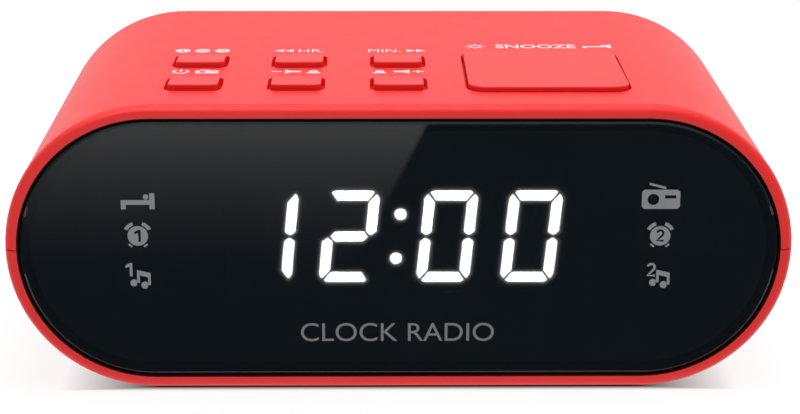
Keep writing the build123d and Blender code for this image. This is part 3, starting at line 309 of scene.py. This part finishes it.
def wound_wire(name, colour):
    """Enamelled wire: fine rings along the coil's axis, with painted shade in the grooves between them."""
    material, tree, shader = new_material(name)
    where = place(tree)
    rings = tree.nodes.new("ShaderNodeTexWave")
    rings.bands_direction = "Y"
    rings.inputs["Scale"].default_value = 1 / (0.6 * MM)
    tree.links.new(where, rings.inputs["Vector"])
    # painted shade: darker where the rings' bump is low, in the grooves between turns
    tone = blend_colours(tree, rings.outputs["Fac"], shade(colour, 0.55), colour)
    tree.links.new(tone, shader.inputs["Base Color"])
    tree.links.new(ramp(tree, rings.outputs["Fac"], 0.0, 1.0, 0.4, 0.25), shader.inputs["Roughness"])
    bump(tree, shader, rings.outputs["Fac"], 0.04 * MM)
    shader.inputs["Metallic"].default_value = 1.0
    return material


def striped(name, colour, gap, pitch, rough):
    """Flat cable: parallel conductors under a pale film."""
    material, tree, shader = new_material(name)
    where = place(tree)
    bands = tree.nodes.new("ShaderNodeTexWave")
    bands.bands_direction = "X"
    bands.inputs["Scale"].default_value = 1 / pitch / 3.3
    tree.links.new(where, bands.inputs["Vector"])
    strip = ramp(tree, bands.outputs["Fac"], 0.35, 0.65, 0.0, 1.0)
    tree.links.new(blend_colours(tree, strip, gap, colour), shader.inputs["Base Color"])
    tree.links.new(ramp(tree, strip, 0.0, 1.0, rough + 0.15, rough), shader.inputs["Roughness"])
    bump(tree, shader, strip, 0.03 * MM)
    return material


def printed(name, colour, rough):
    """Pad-printed ink: slightly uneven cover and a dry face."""
    material, tree, shader = new_material(name)
    where = place(tree)
    cover = noise(tree, where, 0.25 * MM, 3.0)
    tone = blend_colours(tree, spread(tree, cover), shade(colour, 0.93), colour)
    tree.links.new(tone, shader.inputs["Base Color"])
    tree.links.new(spread(tree, cover, rough - 0.05, rough + 0.1), shader.inputs["Roughness"])
    bump(tree, shader, cover, 0.004 * MM)
    return material


MATERIALS = {
    "red_shell": red_plastic("red_shell_satin", RED, 0.42, 0.010 * MM),
    "red_key": red_plastic("red_key_satin", RED, 0.40, 0.008 * MM),
    "smoked_window": smoked_acrylic("smoked_acrylic"),
    "black_plastic": moulded("black_moulding", (0.006, 0.006, 0.0065), 0.6, specular=0.15),
    "lit_bar": lit_plastic("lit_bars", (1.0, 0.70, 0.54), 95.0),
    "dark_bar": moulded("unlit_bars", (0.010, 0.010, 0.010), 0.6),
    "white_plastic": moulded("smoked_diffuser", (0.06, 0.06, 0.06), 0.5),
    "circuit_board": circuit_board("solder_mask"),
    "chip_black": moulded("moulded_epoxy", (0.020, 0.020, 0.021), 0.62, 0.2 * MM, 0.01 * MM),
    "rubber": moulded("black_rubber", (0.022, 0.022, 0.023), 0.78, 0.5 * MM, 0.02 * MM),
    "foam": foam("black_foam", (0.045, 0.045, 0.048)),
    "screw_steel": brushed("zinc_plate", (0.46, 0.46, 0.48), 0.38),
    "spring_steel": brushed("nickel_plate", (0.62, 0.60, 0.57), 0.26),
    "tin_plate": brushed("tinned_sheet", (0.52, 0.53, 0.55), 0.34),
    "ferrite": moulded("fired_ferrite", (0.045, 0.045, 0.048), 0.72, 0.3 * MM, 0.03 * MM),
    "paper_cone": pressed_fibre("cone_paper", (0.045, 0.044, 0.043)),
    "copper": wound_wire("enamelled_wire", (0.70, 0.30, 0.14)),
    "cell_jacket": moulded("printed_sleeve", (0.16, 0.18, 0.21), 0.28, 0.6 * MM, 0.004 * MM, 0.10),
    "lead_jacket": moulded("lead_insulation", (0.30, 0.02, 0.02), 0.50, 0.4 * MM, 0.01 * MM),
    "ribbon": striped("flat_cable", (0.62, 0.60, 0.55), (0.80, 0.80, 0.78), 1.0 * MM, 0.35),
}

for node_name, node in NODES.items():
    for holder in node.material_slots:
        holder.material = MATERIALS[SLOTS[node_name]]

LEGEND_INK = printed("white_ink", (0.80, 0.62, 0.64), 0.55)
SYMBOL_INK = printed("grey_ink", (0.27, 0.285, 0.30), 0.50)
WORD_INK = printed("dim_grey_ink", (0.21, 0.22, 0.23), 0.50)


# -------------------------------------------------------------------- flat shapes
# An outline is a list of (u, v) points in millimetres. A patch is an outer outline with the
# outlines of its holes, and a symbol is a list of patches that don't overlap.


def arc(centre, radius, start, end, points=12):
    """Points along an arc, angles in degrees."""
    steps = [start + (end - start) * i / (points - 1) for i in range(points)]
    return [(centre[0] + radius * cos(radians(a)), centre[1] + radius * sin(radians(a))) for a in steps]


def circle(centre, radius, points=36):
    """A full circle, without its repeated last point."""
    return arc(centre, radius, 0, 360, points + 1)[:-1]


def box(left, low, right, high):
    """An upright rectangle."""
    return [(left, low), (right, low), (right, high), (left, high)]


def rounded_box(left, low, right, high, radius):
    """An upright rectangle with round corners."""
    return (
        arc((right - radius, high - radius), radius, 0, 90, 6)
        + arc((left + radius, high - radius), radius, 90, 180, 6)
        + arc((left + radius, low + radius), radius, 180, 270, 6)
        + arc((right - radius, low + radius), radius, 270, 360, 6)
    )


def band(centre, inner, outer, start, end):
    """Part of a ring."""
    return arc(centre, outer, start, end, 14) + arc(centre, inner, end, start, 14)


def stroke(points, width):
    """A line of the given width along points."""
    left, right = [], []
    for i, point in enumerate(points):
        before = Vector(points[max(i - 1, 0)])
        after = Vector(points[min(i + 1, len(points) - 1)])
        along = (after - before).normalized()
        side = Vector((-along.y, along.x)) * width / 2
        left.append(tuple(Vector(point) + side))
        right.append(tuple(Vector(point) - side))
    return left + right[::-1]


def moved(symbol, x, y, scale=1.0, flip=1):
    """A symbol moved, scaled and, with flip -1, mirrored left to right."""
    result = []
    for patch in symbol:
        outlines = [[(x + flip * scale * u, y + scale * v) for u, v in outline] for outline in patch]
        result.append(outlines)
    return result


def one(x, y, tall):
    """The figure 1."""
    half, thick = tall / 2, tall * 0.2
    return [(x, y - half), (x + thick, y - half), (x + thick, y + half), (x, y + half),
            (x - 1.5 * thick, y + 0.32 * tall), (x - 1.5 * thick, y + 0.14 * tall), (x, y + 0.22 * tall)]


def two(x, y, tall):
    """The figure 2."""
    radius = tall * 0.25
    top = arc((x, y + tall * 0.22), radius, 165, -40, 10)
    path = top + [(x - radius, y - tall * 0.41), (x + radius * 1.15, y - tall * 0.41)]
    return stroke(path, tall * 0.18)


def bed():
    """A bed seen from the side, with a sleeper's head at the high end."""
    return [
        [[(-3.9, -2.0), (-2.75, -2.0), (-2.75, -0.9), (2.8, -0.9), (2.8, -2.0), (4.0, -2.0),
          (4.0, 1.95), (2.8, 1.95), (2.8, 0.25), (-3.9, 0.25)]],
        [circle((1.97, 1.0), 0.66, 20)],
    ]


def alarm(figure):
    """An alarm clock with a figure cut out of its dial."""
    return [
        [circle((0, 0), 2.42), figure],
        [band((0, 0), 2.75, 3.62, 110, 151)],
        [band((0, 0), 2.75, 3.62, 29, 70)],
        [band((0, 0), 2.75, 3.2, 222, 243)],
        [band((0, 0), 2.75, 3.2, 297, 318)],
    ]


def notes(figure):
    """A figure and two joined music notes."""
    heads = ((-1.37, -1.95), (1.2, -2.5))
    frame_of_notes = [(-0.62, -1.95), (-0.62, 1.25), (2.6, 0.5), (2.6, -2.5),
                      (1.95, -2.5), (1.95, -0.55), (0.03, -0.1), (0.03, -1.95)]
    return [
        [figure],
        [frame_of_notes],
        [arc(heads[0], 0.88, 40, 320, 18)],
        [arc(heads[1], 0.88, 40, 320, 18)],
    ]


def radio():
    """A portable radio with an aerial."""
    case = rounded_box(-4.5, -2.36, 4.5, 2.36, 0.9)
    loudspeaker = circle((-1.8, -0.03), 1.37, 24)
    dial = box(0.92, 0.2, 3.55, 1.0)
    aerial = stroke([(-2.77, 3.8), (1.1, 2.74)], 0.55)
    return [[case, loudspeaker, dial], [aerial]]


def power():
    """A standby symbol."""
    return [[band((0, 0), 1.45, 2.1, 125, 415)], [box(-0.33, 0.1, 0.33, 2.3)]]


def button_disc(hole):
    """A disc with a hole in it."""
    return [[circle((0, 0), 1.95), hole]]


def arrows():
    """Two triangles that point to the left."""
    return [[[(x, 0), (x + 2.35, 1.5), (x + 2.35, -1.5)]] for x in (-2.45, 0.0)]


def speaker():
    """A loudspeaker that points to the left."""
    return [[[(-1.95, 1.9), (-0.3, 0.75), (1.95, 0.75), (1.95, -0.75), (-0.3, -0.75), (-1.95, -1.9)]]]


def bell(hole):
    """A bell with a hole in it."""
    dome = arc((0, 0.35), 1.05, 0, 180, 10)
    outline = [(-1.85, -1.75), (1.85, -1.75), (1.15, -0.4)] + dome + [(-1.15, -0.4)]
    return [[outline, hole]]


def sun():
    """A lamp's ring with rays."""
    rays = [[stroke([(1.95 * cos(a), 1.95 * sin(a)), (2.65 * cos(a), 2.65 * sin(a))], 0.42)]
            for a in [radians(45 * i) for i in range(8)]]
    return [[circle((0, 0), 1.55), circle((0, 0), 0.98, 24)]] + rays


def minus():
    """A minus sign."""
    return [[box(-1.3, -0.27, 1.3, 0.27)]]


def plus():
    """A plus sign."""
    arm, half, tip = 1.4, 0.29, 0.25
    return [[[(-arm, -tip), (-half, -half), (-tip, -arm), (tip, -arm), (half, -half), (arm, -tip),
              (arm, tip), (half, half), (tip, arm), (-tip, arm), (-half, half), (-arm, tip)]]]


# ------------------------------------------------------------------ printed marks

INK = 0.03 * MM  # half the thickness of the printed ink
SYMBOL_WELD = 0.001 * MM  # points nearer than this become one
LETTER_WELD = 1e-5  # the same for letters, which are about 1 unit tall before they are fitted
LETTER_EXTRUDE = 0.01  # in the same units; the letters are then given the ink's thickness


def on_top(x, y):
    """Matrix that lays a flat shape on the case's top, read from the front."""
    return Matrix.Translation((x * MM, y * MM, TOP_Z))


def on_window(x, z):
    """Matrix that stands a flat shape on the window, read from the front."""
    return Matrix.Translation((x * MM, WINDOW_LOW.y, z * MM)) @ Matrix.Rotation(pi / 2, 4, "X")


def mesh_of(curve):
    """Mesh of a filled curve or of text."""
    source = bpy.data.objects.new("outline", curve)
    bpy.context.scene.collection.objects.link(source)
    bpy.context.view_layer.update()
    graph = bpy.context.evaluated_depsgraph_get()
    mesh = bpy.data.meshes.new_from_object(source.evaluated_get(graph))
    bpy.data.objects.remove(source)
    return mesh


def lay_print(name, mesh, matrix, ink):
    """Put a flat mesh on the case as a printed piece."""
    mesh.materials.append(ink)
    mesh.transform(matrix)
    piece = bpy.data.objects.new(name, mesh)
    bpy.context.scene.collection.objects.link(piece)
    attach(piece, "case")


def print_symbol(name, symbol, matrix, ink=LEGEND_INK):
    """One printed symbol, as a thin closed solid."""
    shape = bmesh.new()
    for patch in symbol:
        curve = bpy.data.curves.new("outline", "CURVE")
        curve.dimensions = "2D"
        curve.fill_mode = "BOTH"
        curve.extrude = INK
        for outline in patch:
            spline = curve.splines.new("POLY")
            spline.points.add(len(outline) - 1)
            for point, (u, v) in zip(spline.points, outline):
                point.co = (u * MM, v * MM, 0, 1)
            spline.use_cyclic_u = True
        shape.from_mesh(mesh_of(curve))
    bmesh.ops.remove_doubles(shape, verts=shape.verts, dist=SYMBOL_WELD)
    bmesh.ops.recalc_face_normals(shape, faces=shape.faces)
    mesh = bpy.data.meshes.new(name)
    shape.to_mesh(mesh)
    shape.free()
    lay_print(name, mesh, matrix, ink)


def print_word(name, text, width, height, matrix, ink=LEGEND_INK, weight=0.0):
    """A word in plain capitals, width by height millimetres, centred on its place."""
    letters = bpy.data.curves.new(name, "FONT")
    letters.body = text
    letters.offset = weight
    letters.extrude = LETTER_EXTRUDE
    mesh = mesh_of(letters)
    shape = bmesh.new()
    shape.from_mesh(mesh)
    bmesh.ops.remove_doubles(shape, verts=shape.verts, dist=LETTER_WELD)
    low = [min(v.co[i] for v in shape.verts) for i in range(3)]
    high = [max(v.co[i] for v in shape.verts) for i in range(3)]
    for vert in shape.verts:
        vert.co.x = ((vert.co.x - low[0]) / (high[0] - low[0]) - 0.5) * width * MM
        vert.co.y = ((vert.co.y - low[1]) / (high[1] - low[1]) - 0.5) * height * MM
        vert.co.z = INK if vert.co.z > 0 else -INK
    bmesh.ops.recalc_face_normals(shape, faces=shape.faces)
    shape.to_mesh(mesh)
    shape.free()
    mesh.name = name
    mesh.materials.clear()
    lay_print(name, mesh, matrix, ink)


def centre_mm(node):
    """Middle of a CAD node, in millimetres."""
    low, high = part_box(node)
    return (low + high) / 2 / MM


# legends on the top: a front row behind the front keys and a back row behind the others
FRONT_ROW = -18.7
BACK_ROW = 3.5
SNOOZE_ROW = 8.3
left_x = centre_mm("power_key").x
mid_x = centre_mm("volume_down_key").x
right_x = centre_mm("volume_up_key").x
snooze_x = centre_mm("snooze_key").x

off_bar = rounded_box(-1.1, -0.4, 1.1, 0.4, 0.35)

print_symbol("legend_standby", power(), on_top(left_x - 4.25, FRONT_ROW))
print_symbol("legend_radio", moved(radio(), 0, -0.3, 0.64), on_top(left_x + 2.2, FRONT_ROW))
print_symbol("legend_alarm_one", button_disc(one(-0.1, 0, 2.2)), on_top(left_x - 5.6, BACK_ROW))
print_symbol("legend_alarm_off", button_disc(off_bar), on_top(left_x - 0.6, BACK_ROW))
print_symbol("legend_alarm_two", button_disc(two(0, 0, 2.2)), on_top(left_x + 4.5, BACK_ROW))
print_symbol("legend_minus", minus(), on_top(mid_x - 5.3, FRONT_ROW))
print_symbol("legend_speaker_down", speaker(), on_top(mid_x - 1.25, FRONT_ROW))
print_symbol("legend_bell_one", bell(one(-0.1, -0.2, 1.5)), on_top(mid_x + 3.8, FRONT_ROW))
print_symbol("legend_bell_two", bell(two(0, -0.2, 1.5)), on_top(right_x - 4.55, FRONT_ROW))
print_symbol("legend_speaker_up", moved(speaker(), 0, 0, 1, -1), on_top(right_x + 0.85, FRONT_ROW))
print_symbol("legend_plus", plus(), on_top(right_x + 4.95, FRONT_ROW))
print_symbol("legend_back_arrows", arrows(), on_top(mid_x - 4.25, BACK_ROW))
print_word("legend_hour", "HR.", 6.6, 3.4, on_top(mid_x + 2.7, BACK_ROW))
print_word("legend_minute", "MIN.", 8.2, 3.4, on_top(right_x - 3.25, BACK_ROW))
print_symbol("legend_forward_arrows", moved(arrows(), 0, 0, 1, -1), on_top(right_x + 4.8, BACK_ROW))
print_symbol("legend_dimmer", sun(), on_top(snooze_x - 15.7, SNOOZE_ROW))
print_word("legend_snooze", "SNOOZE", 20.8, 4.2, on_top(snooze_x - 0.1, SNOOZE_ROW), weight=0.02)
print_symbol("legend_sleep", moved(bed(), 0, 0, 0.94), on_top(snooze_x + 15.7, SNOOZE_ROW))

# symbols on the window, three at each side, in front of their lamps
mid = MID_Z / MM
symbol_x = 61.3
print_symbol("symbol_sleep", bed(), on_window(-symbol_x + 0.1, mid + 12.2), SYMBOL_INK)
print_symbol("symbol_alarm_one", alarm(one(0.1, 0, 3.0)), on_window(-symbol_x - 0.1, mid + 3.64), SYMBOL_INK)
print_symbol("symbol_music_one", notes(one(-2.3, 1.35, 3.3)), on_window(-symbol_x, mid - 6.1), SYMBOL_INK)
print_symbol("symbol_radio", radio(), on_window(symbol_x - 0.05, mid + 12.5), SYMBOL_INK)
print_symbol("symbol_alarm_two", alarm(two(0, 0, 2.9)), on_window(symbol_x + 0.1, mid + 3.49), SYMBOL_INK)
print_symbol("symbol_music_two", notes(two(-1.85, 1.15, 3.3)),
             on_window(symbol_x + 0.15, mid - 6.2), SYMBOL_INK)
print_word("window_wording", "CLOCK RADIO", 46.0, 4.6, on_window(-0.4, mid - 20.6), WORD_INK, -0.002)


# ------------------------------------------------------------ painted glow round the bars

FILM_STEP = 0.4 * MM  # size of the film's squares
FILM_THICK = 0.06 * MM
FILM_MARGIN = 0.5 * MM  # the film stops this far inside the clock's edge
FILM_SHARE = (0.20, 0.24)  # how much of the film glows where it is brightest
FILM_COLOUR = (1.0, 0.72, 0.56)
FILM_STRENGTH = 12.0
GLOW_FULL = 0.15 * MM  # the painted glow is full this near to a bar
GLOW_REACH = 0.35 * MM  # beyond that it falls to about a third over this length
GLOW_END = 1.5 * MM  # and there is none this far away


def surface_tree(node):
    """Search tree of a CAD node's surface."""
    data = NODES[node].data
    return BVHTree.FromPolygons([v.co for v in data.vertices], [tuple(p.vertices) for p in data.polygons])


def painted_spilt_light(distance):
    """Painted glow at a distance from the nearest lit bar: full on the bar, none beyond GLOW_END."""
    level = exp(-max(distance - GLOW_FULL, 0.0) / GLOW_REACH)
    return level * max(0.0, 1.0 - distance / GLOW_END)


def rims(rows):
    """The four edges of a sheet of points."""
    return [row[0] for row in rows], [row[-1] for row in rows], rows[0], rows[-1]


def painted_glow_film():
    """Thin clear film over the clock's face that glows round the lit bars: painted light, set by each
    point's distance to the nearest bar.
    """
    low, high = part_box("clock_housing")
    lit = [surface_tree("lit_segments"), surface_tree("colon_dots")]
    across = round((high.x - low.x - 2 * FILM_MARGIN) / FILM_STEP)
    up = round((high.z - low.z - 2 * FILM_MARGIN) / FILM_STEP)
    left_x = low.x + FILM_MARGIN
    low_z = low.z + FILM_MARGIN
    film_y = (WINDOW_HIGH.y + low.y) / 2
    shape = bmesh.new()
    glow = shape.verts.layers.float.new("glow")
    sheets = []
    for y in (film_y - FILM_THICK / 2, film_y + FILM_THICK / 2):
        rows = []
        for j in range(up + 1):
            row = []
            for i in range(across + 1):
                at = Vector((left_x + i * FILM_STEP, y, low_z + j * FILM_STEP))
                vert = shape.verts.new(at)
                distance = min(tree.find_nearest(at)[3] for tree in lit)
                vert[glow] = painted_spilt_light(distance)
                row.append(vert)
            rows.append(row)
        sheets.append(rows)
        for j in range(up):
            for i in range(across):
                shape.faces.new((rows[j][i], rows[j][i + 1], rows[j + 1][i + 1], rows[j + 1][i]))
    front, back = sheets
    for rim, other in zip(rims(front), rims(back)):
        for i in range(len(rim) - 1):
            shape.faces.new((rim[i], rim[i + 1], other[i + 1], other[i]))
    bmesh.ops.recalc_face_normals(shape, faces=shape.faces)
    mesh = bpy.data.meshes.new("painted_glow_film")
    shape.to_mesh(mesh)
    shape.free()
    return mesh


def film_material():
    """Clear film that glows by its own glow values, as painted light round the bars."""
    material, tree, shader = new_material("painted_spilt_light")
    output = [n for n in tree.nodes if n.type == "OUTPUT_MATERIAL"][0]
    glow = tree.nodes.new("ShaderNodeAttribute")
    glow.attribute_name = "glow"
    clear = tree.nodes.new("ShaderNodeBsdfTransparent")
    mixed = tree.nodes.new("ShaderNodeMixShader")
    grain = noise(tree, place(tree), 0.5 * MM, 2.0)
    share = math(tree, "MULTIPLY", glow.outputs["Fac"], spread(tree, grain, *FILM_SHARE))
    tree.links.new(share, mixed.inputs["Fac"])
    tree.links.new(clear.outputs["BSDF"], mixed.inputs[1])
    tree.links.new(shader.outputs["BSDF"], mixed.inputs[2])
    tree.links.new(mixed.outputs["Shader"], output.inputs["Surface"])
    shader.inputs["Base Color"].default_value = (0.5, 0.5, 0.5, 1)
    shader.inputs["Roughness"].default_value = 0.7
    shader.inputs["Emission Color"].default_value = (*FILM_COLOUR, 1)
    shader.inputs["Emission Strength"].default_value = FILM_STRENGTH
    return material


# a sheet of painted glow round the lit bars, not a lamp
film = bpy.data.objects.new("painted_glow_film", painted_glow_film())
film.data.materials.append(film_material())
bpy.context.scene.collection.objects.link(film)
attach(film, "case")


# ------------------------------------------------------------------------- studio


def card(name, width, depth, matrix, material):
    """A flat studio card, width by depth."""
    shape = bmesh.new()
    x, y = width / 2, depth / 2
    corners = [(-x, -y, 0), (x, -y, 0), (x, y, 0), (-x, y, 0)]
    shape.faces.new([shape.verts.new(corner) for corner in corners])
    mesh = bpy.data.meshes.new(name)
    shape.to_mesh(mesh)
    shape.free()
    mesh.materials.append(material)
    piece = bpy.data.objects.new(name, mesh)
    piece.matrix_world = matrix
    bpy.context.scene.collection.objects.link(piece)
    return piece


def only_in_reflections(piece):
    """Keep a studio card out of sight, except as a reflection."""
    piece.visible_camera = False
    piece.visible_diffuse = False
    piece.visible_transmission = False
    piece.visible_volume_scatter = False
    piece.visible_shadow = False


def floor_material():
    """Pale studio floor that glows, except in a painted shadow under the case, where its glow is taken away.
    """
    material, tree, shader = new_material("studio_floor")
    where = place(tree)
    tone = blend_colours(tree, noise(tree, where, 0.3, 2.0), (0.125, 0.13, 0.13), (0.14, 0.14, 0.14))
    tree.links.new(tone, shader.inputs["Base Color"])
    shader.inputs["Emission Color"].default_value = (1, 1, 1, 1)
    # painted shadow: the floor's glow fades out near the case's footprint, by position alone
    split = tree.nodes.new("ShaderNodeSeparateXYZ")
    tree.links.new(where, split.inputs["Vector"])
    flat = (SHELL_HIGH.x - SHELL_LOW.x - (SHELL_HIGH.z - LOWER_LOW.z)) / 2
    middle_y = math(tree, "ADD", split.outputs["Y"], FLOOR_Y)
    aside = math(tree, "SUBTRACT", math(tree, "ABSOLUTE", split.outputs["X"], 0), flat)
    before = math(tree, "SUBTRACT", math(tree, "ABSOLUTE", middle_y, 0), SHELL_HIGH.y - PAINTED_SHADE_INSET)
    open_x = ramp(tree, aside, 0.0, PAINTED_SHADE_ENDS, 0.0, 1.0)
    open_y = ramp(tree, before, 0.0, PAINTED_SHADE_REACH, 0.0, 1.0)
    lit = math(tree, "MAXIMUM", open_x, open_y)
    tree.links.new(math(tree, "MULTIPLY", lit, FLOOR_GLOW), shader.inputs["Emission Strength"])
    shader.inputs["Roughness"].default_value = 0.9
    shader.inputs["Specular IOR Level"].default_value = 0.0
    return material


def glow_material(name, build):
    """Emissive card whose strength is worked out from its own coordinates by build."""
    material, tree, shader = new_material(name)
    output = [n for n in tree.nodes if n.type == "OUTPUT_MATERIAL"][0]
    tree.nodes.remove(shader)
    light = tree.nodes.new("ShaderNodeEmission")
    split = tree.nodes.new("ShaderNodeSeparateXYZ")
    tree.links.new(place(tree), split.inputs["Vector"])
    tree.links.new(build(tree, split.outputs["X"], split.outputs["Y"]), light.inputs["Strength"])
    tree.links.new(light.outputs["Emission"], output.inputs["Surface"])
    return material


def table_reflection(tree, x, y):
    """Pale table far in front and to the left, dark near the radio and to the right."""
    y = math(tree, "ADD", y, TABLE_AT.y)
    near = ramp(tree, y, TABLE_PALE_Y, TABLE_DARK_Y, 1.0, 0.0)
    fall = math(tree, "POWER", near, TABLE_FALL)
    edge = math(tree, "MULTIPLY", math(tree, "ADD", y, -TABLE_EDGE_Y), TABLE_SLANT)
    side = math(tree, "ADD", x, edge)
    left = ramp(tree, math(tree, "SUBTRACT", TABLE_EDGE_X, side), -TABLE_SOFT, TABLE_SOFT, 0.0, 1.0)
    return math(tree, "MULTIPLY", fall, left)


def softbox_reflection(tree, x, y):
    """Overhead softbox that fades out to the right."""
    return ramp(tree, x, SOFTBOX_FULL_X, SOFTBOX_NONE_X, SOFTBOX_GLOW, 0.0)


card("studio_floor", FLOOR_SIZE, FLOOR_SIZE, Matrix.Translation((0, FLOOR_Y, 0)), floor_material())

table_card = card("table_reflection", 1.2, 0.9, Matrix.Translation(TABLE_AT),
                  glow_material("table_reflection", table_reflection))
only_in_reflections(table_card)

softbox = card("softbox_reflection", 1.6, 0.7, Matrix.Translation(SOFTBOX_AT),
               glow_material("softbox_reflection", softbox_reflection))
only_in_reflections(softbox)

# the world's light depends on the direction it comes from
world = bpy.data.worlds.new("studio")
bpy.context.scene.world = world
world.use_nodes = True
background = world.node_tree.nodes["Background"]
background.inputs["Color"].default_value = (1, 1, 1, 1)
sky = world.node_tree
toward = sky.nodes.new("ShaderNodeSeparateXYZ")
sky.links.new(sky.nodes.new("ShaderNodeTexCoord").outputs["Generated"], toward.inputs["Vector"])
behind = ramp(sky, toward.outputs["Y"], *WORLD_BEHIND, WORLD_FRONT, WORLD_BACK)
above = ramp(sky, toward.outputs["Z"], *WORLD_ABOVE, WORLD_FRONT, WORLD_TOP)
lighting = math(sky, "MAXIMUM", behind, above)
# what is seen past the floor's edge is pale all over
seen = sky.nodes.new("ShaderNodeLightPath").outputs["Is Camera Ray"]
backdrop = math(sky, "MULTIPLY", seen, WORLD_SEEN)
sky.links.new(math(sky, "MAXIMUM", lighting, backdrop), background.inputs["Strength"])


def area_light(name, at, target, size, power):
    """A soft square lamp at one point, aimed at another, that no reflection shows."""
    lamp = bpy.data.lights.new(name, "AREA")
    lamp.shape = "SQUARE"
    lamp.size = size
    lamp.energy = power
    piece = bpy.data.objects.new(name, lamp)
    piece.location = at
    piece.rotation_euler = (Vector(target) - Vector(at)).to_track_quat("-Z", "Y").to_euler()
    piece.visible_glossy = False
    bpy.context.scene.collection.objects.link(piece)


area_light("key_light", at=(0.15, -0.08, 1.4), target=(0, 0, 0.03), size=1.0, power=15.0)

camera_data = bpy.data.cameras.new("camera")
camera_data.lens = CAMERA_LENS
camera_data.sensor_width = 36.0
camera_data.clip_start = 0.01
camera_data.clip_end = 20.0
camera = bpy.data.objects.new("camera", camera_data)
camera.location = CAMERA_AT
camera.rotation_euler = Euler((pi / 2 - CAMERA_DOWN, CAMERA_ROLL, -CAMERA_YAW), "XYZ")
bpy.context.scene.collection.objects.link(camera)
bpy.context.scene.camera = camera
bpy.context.scene.view_settings.view_transform = "Standard"
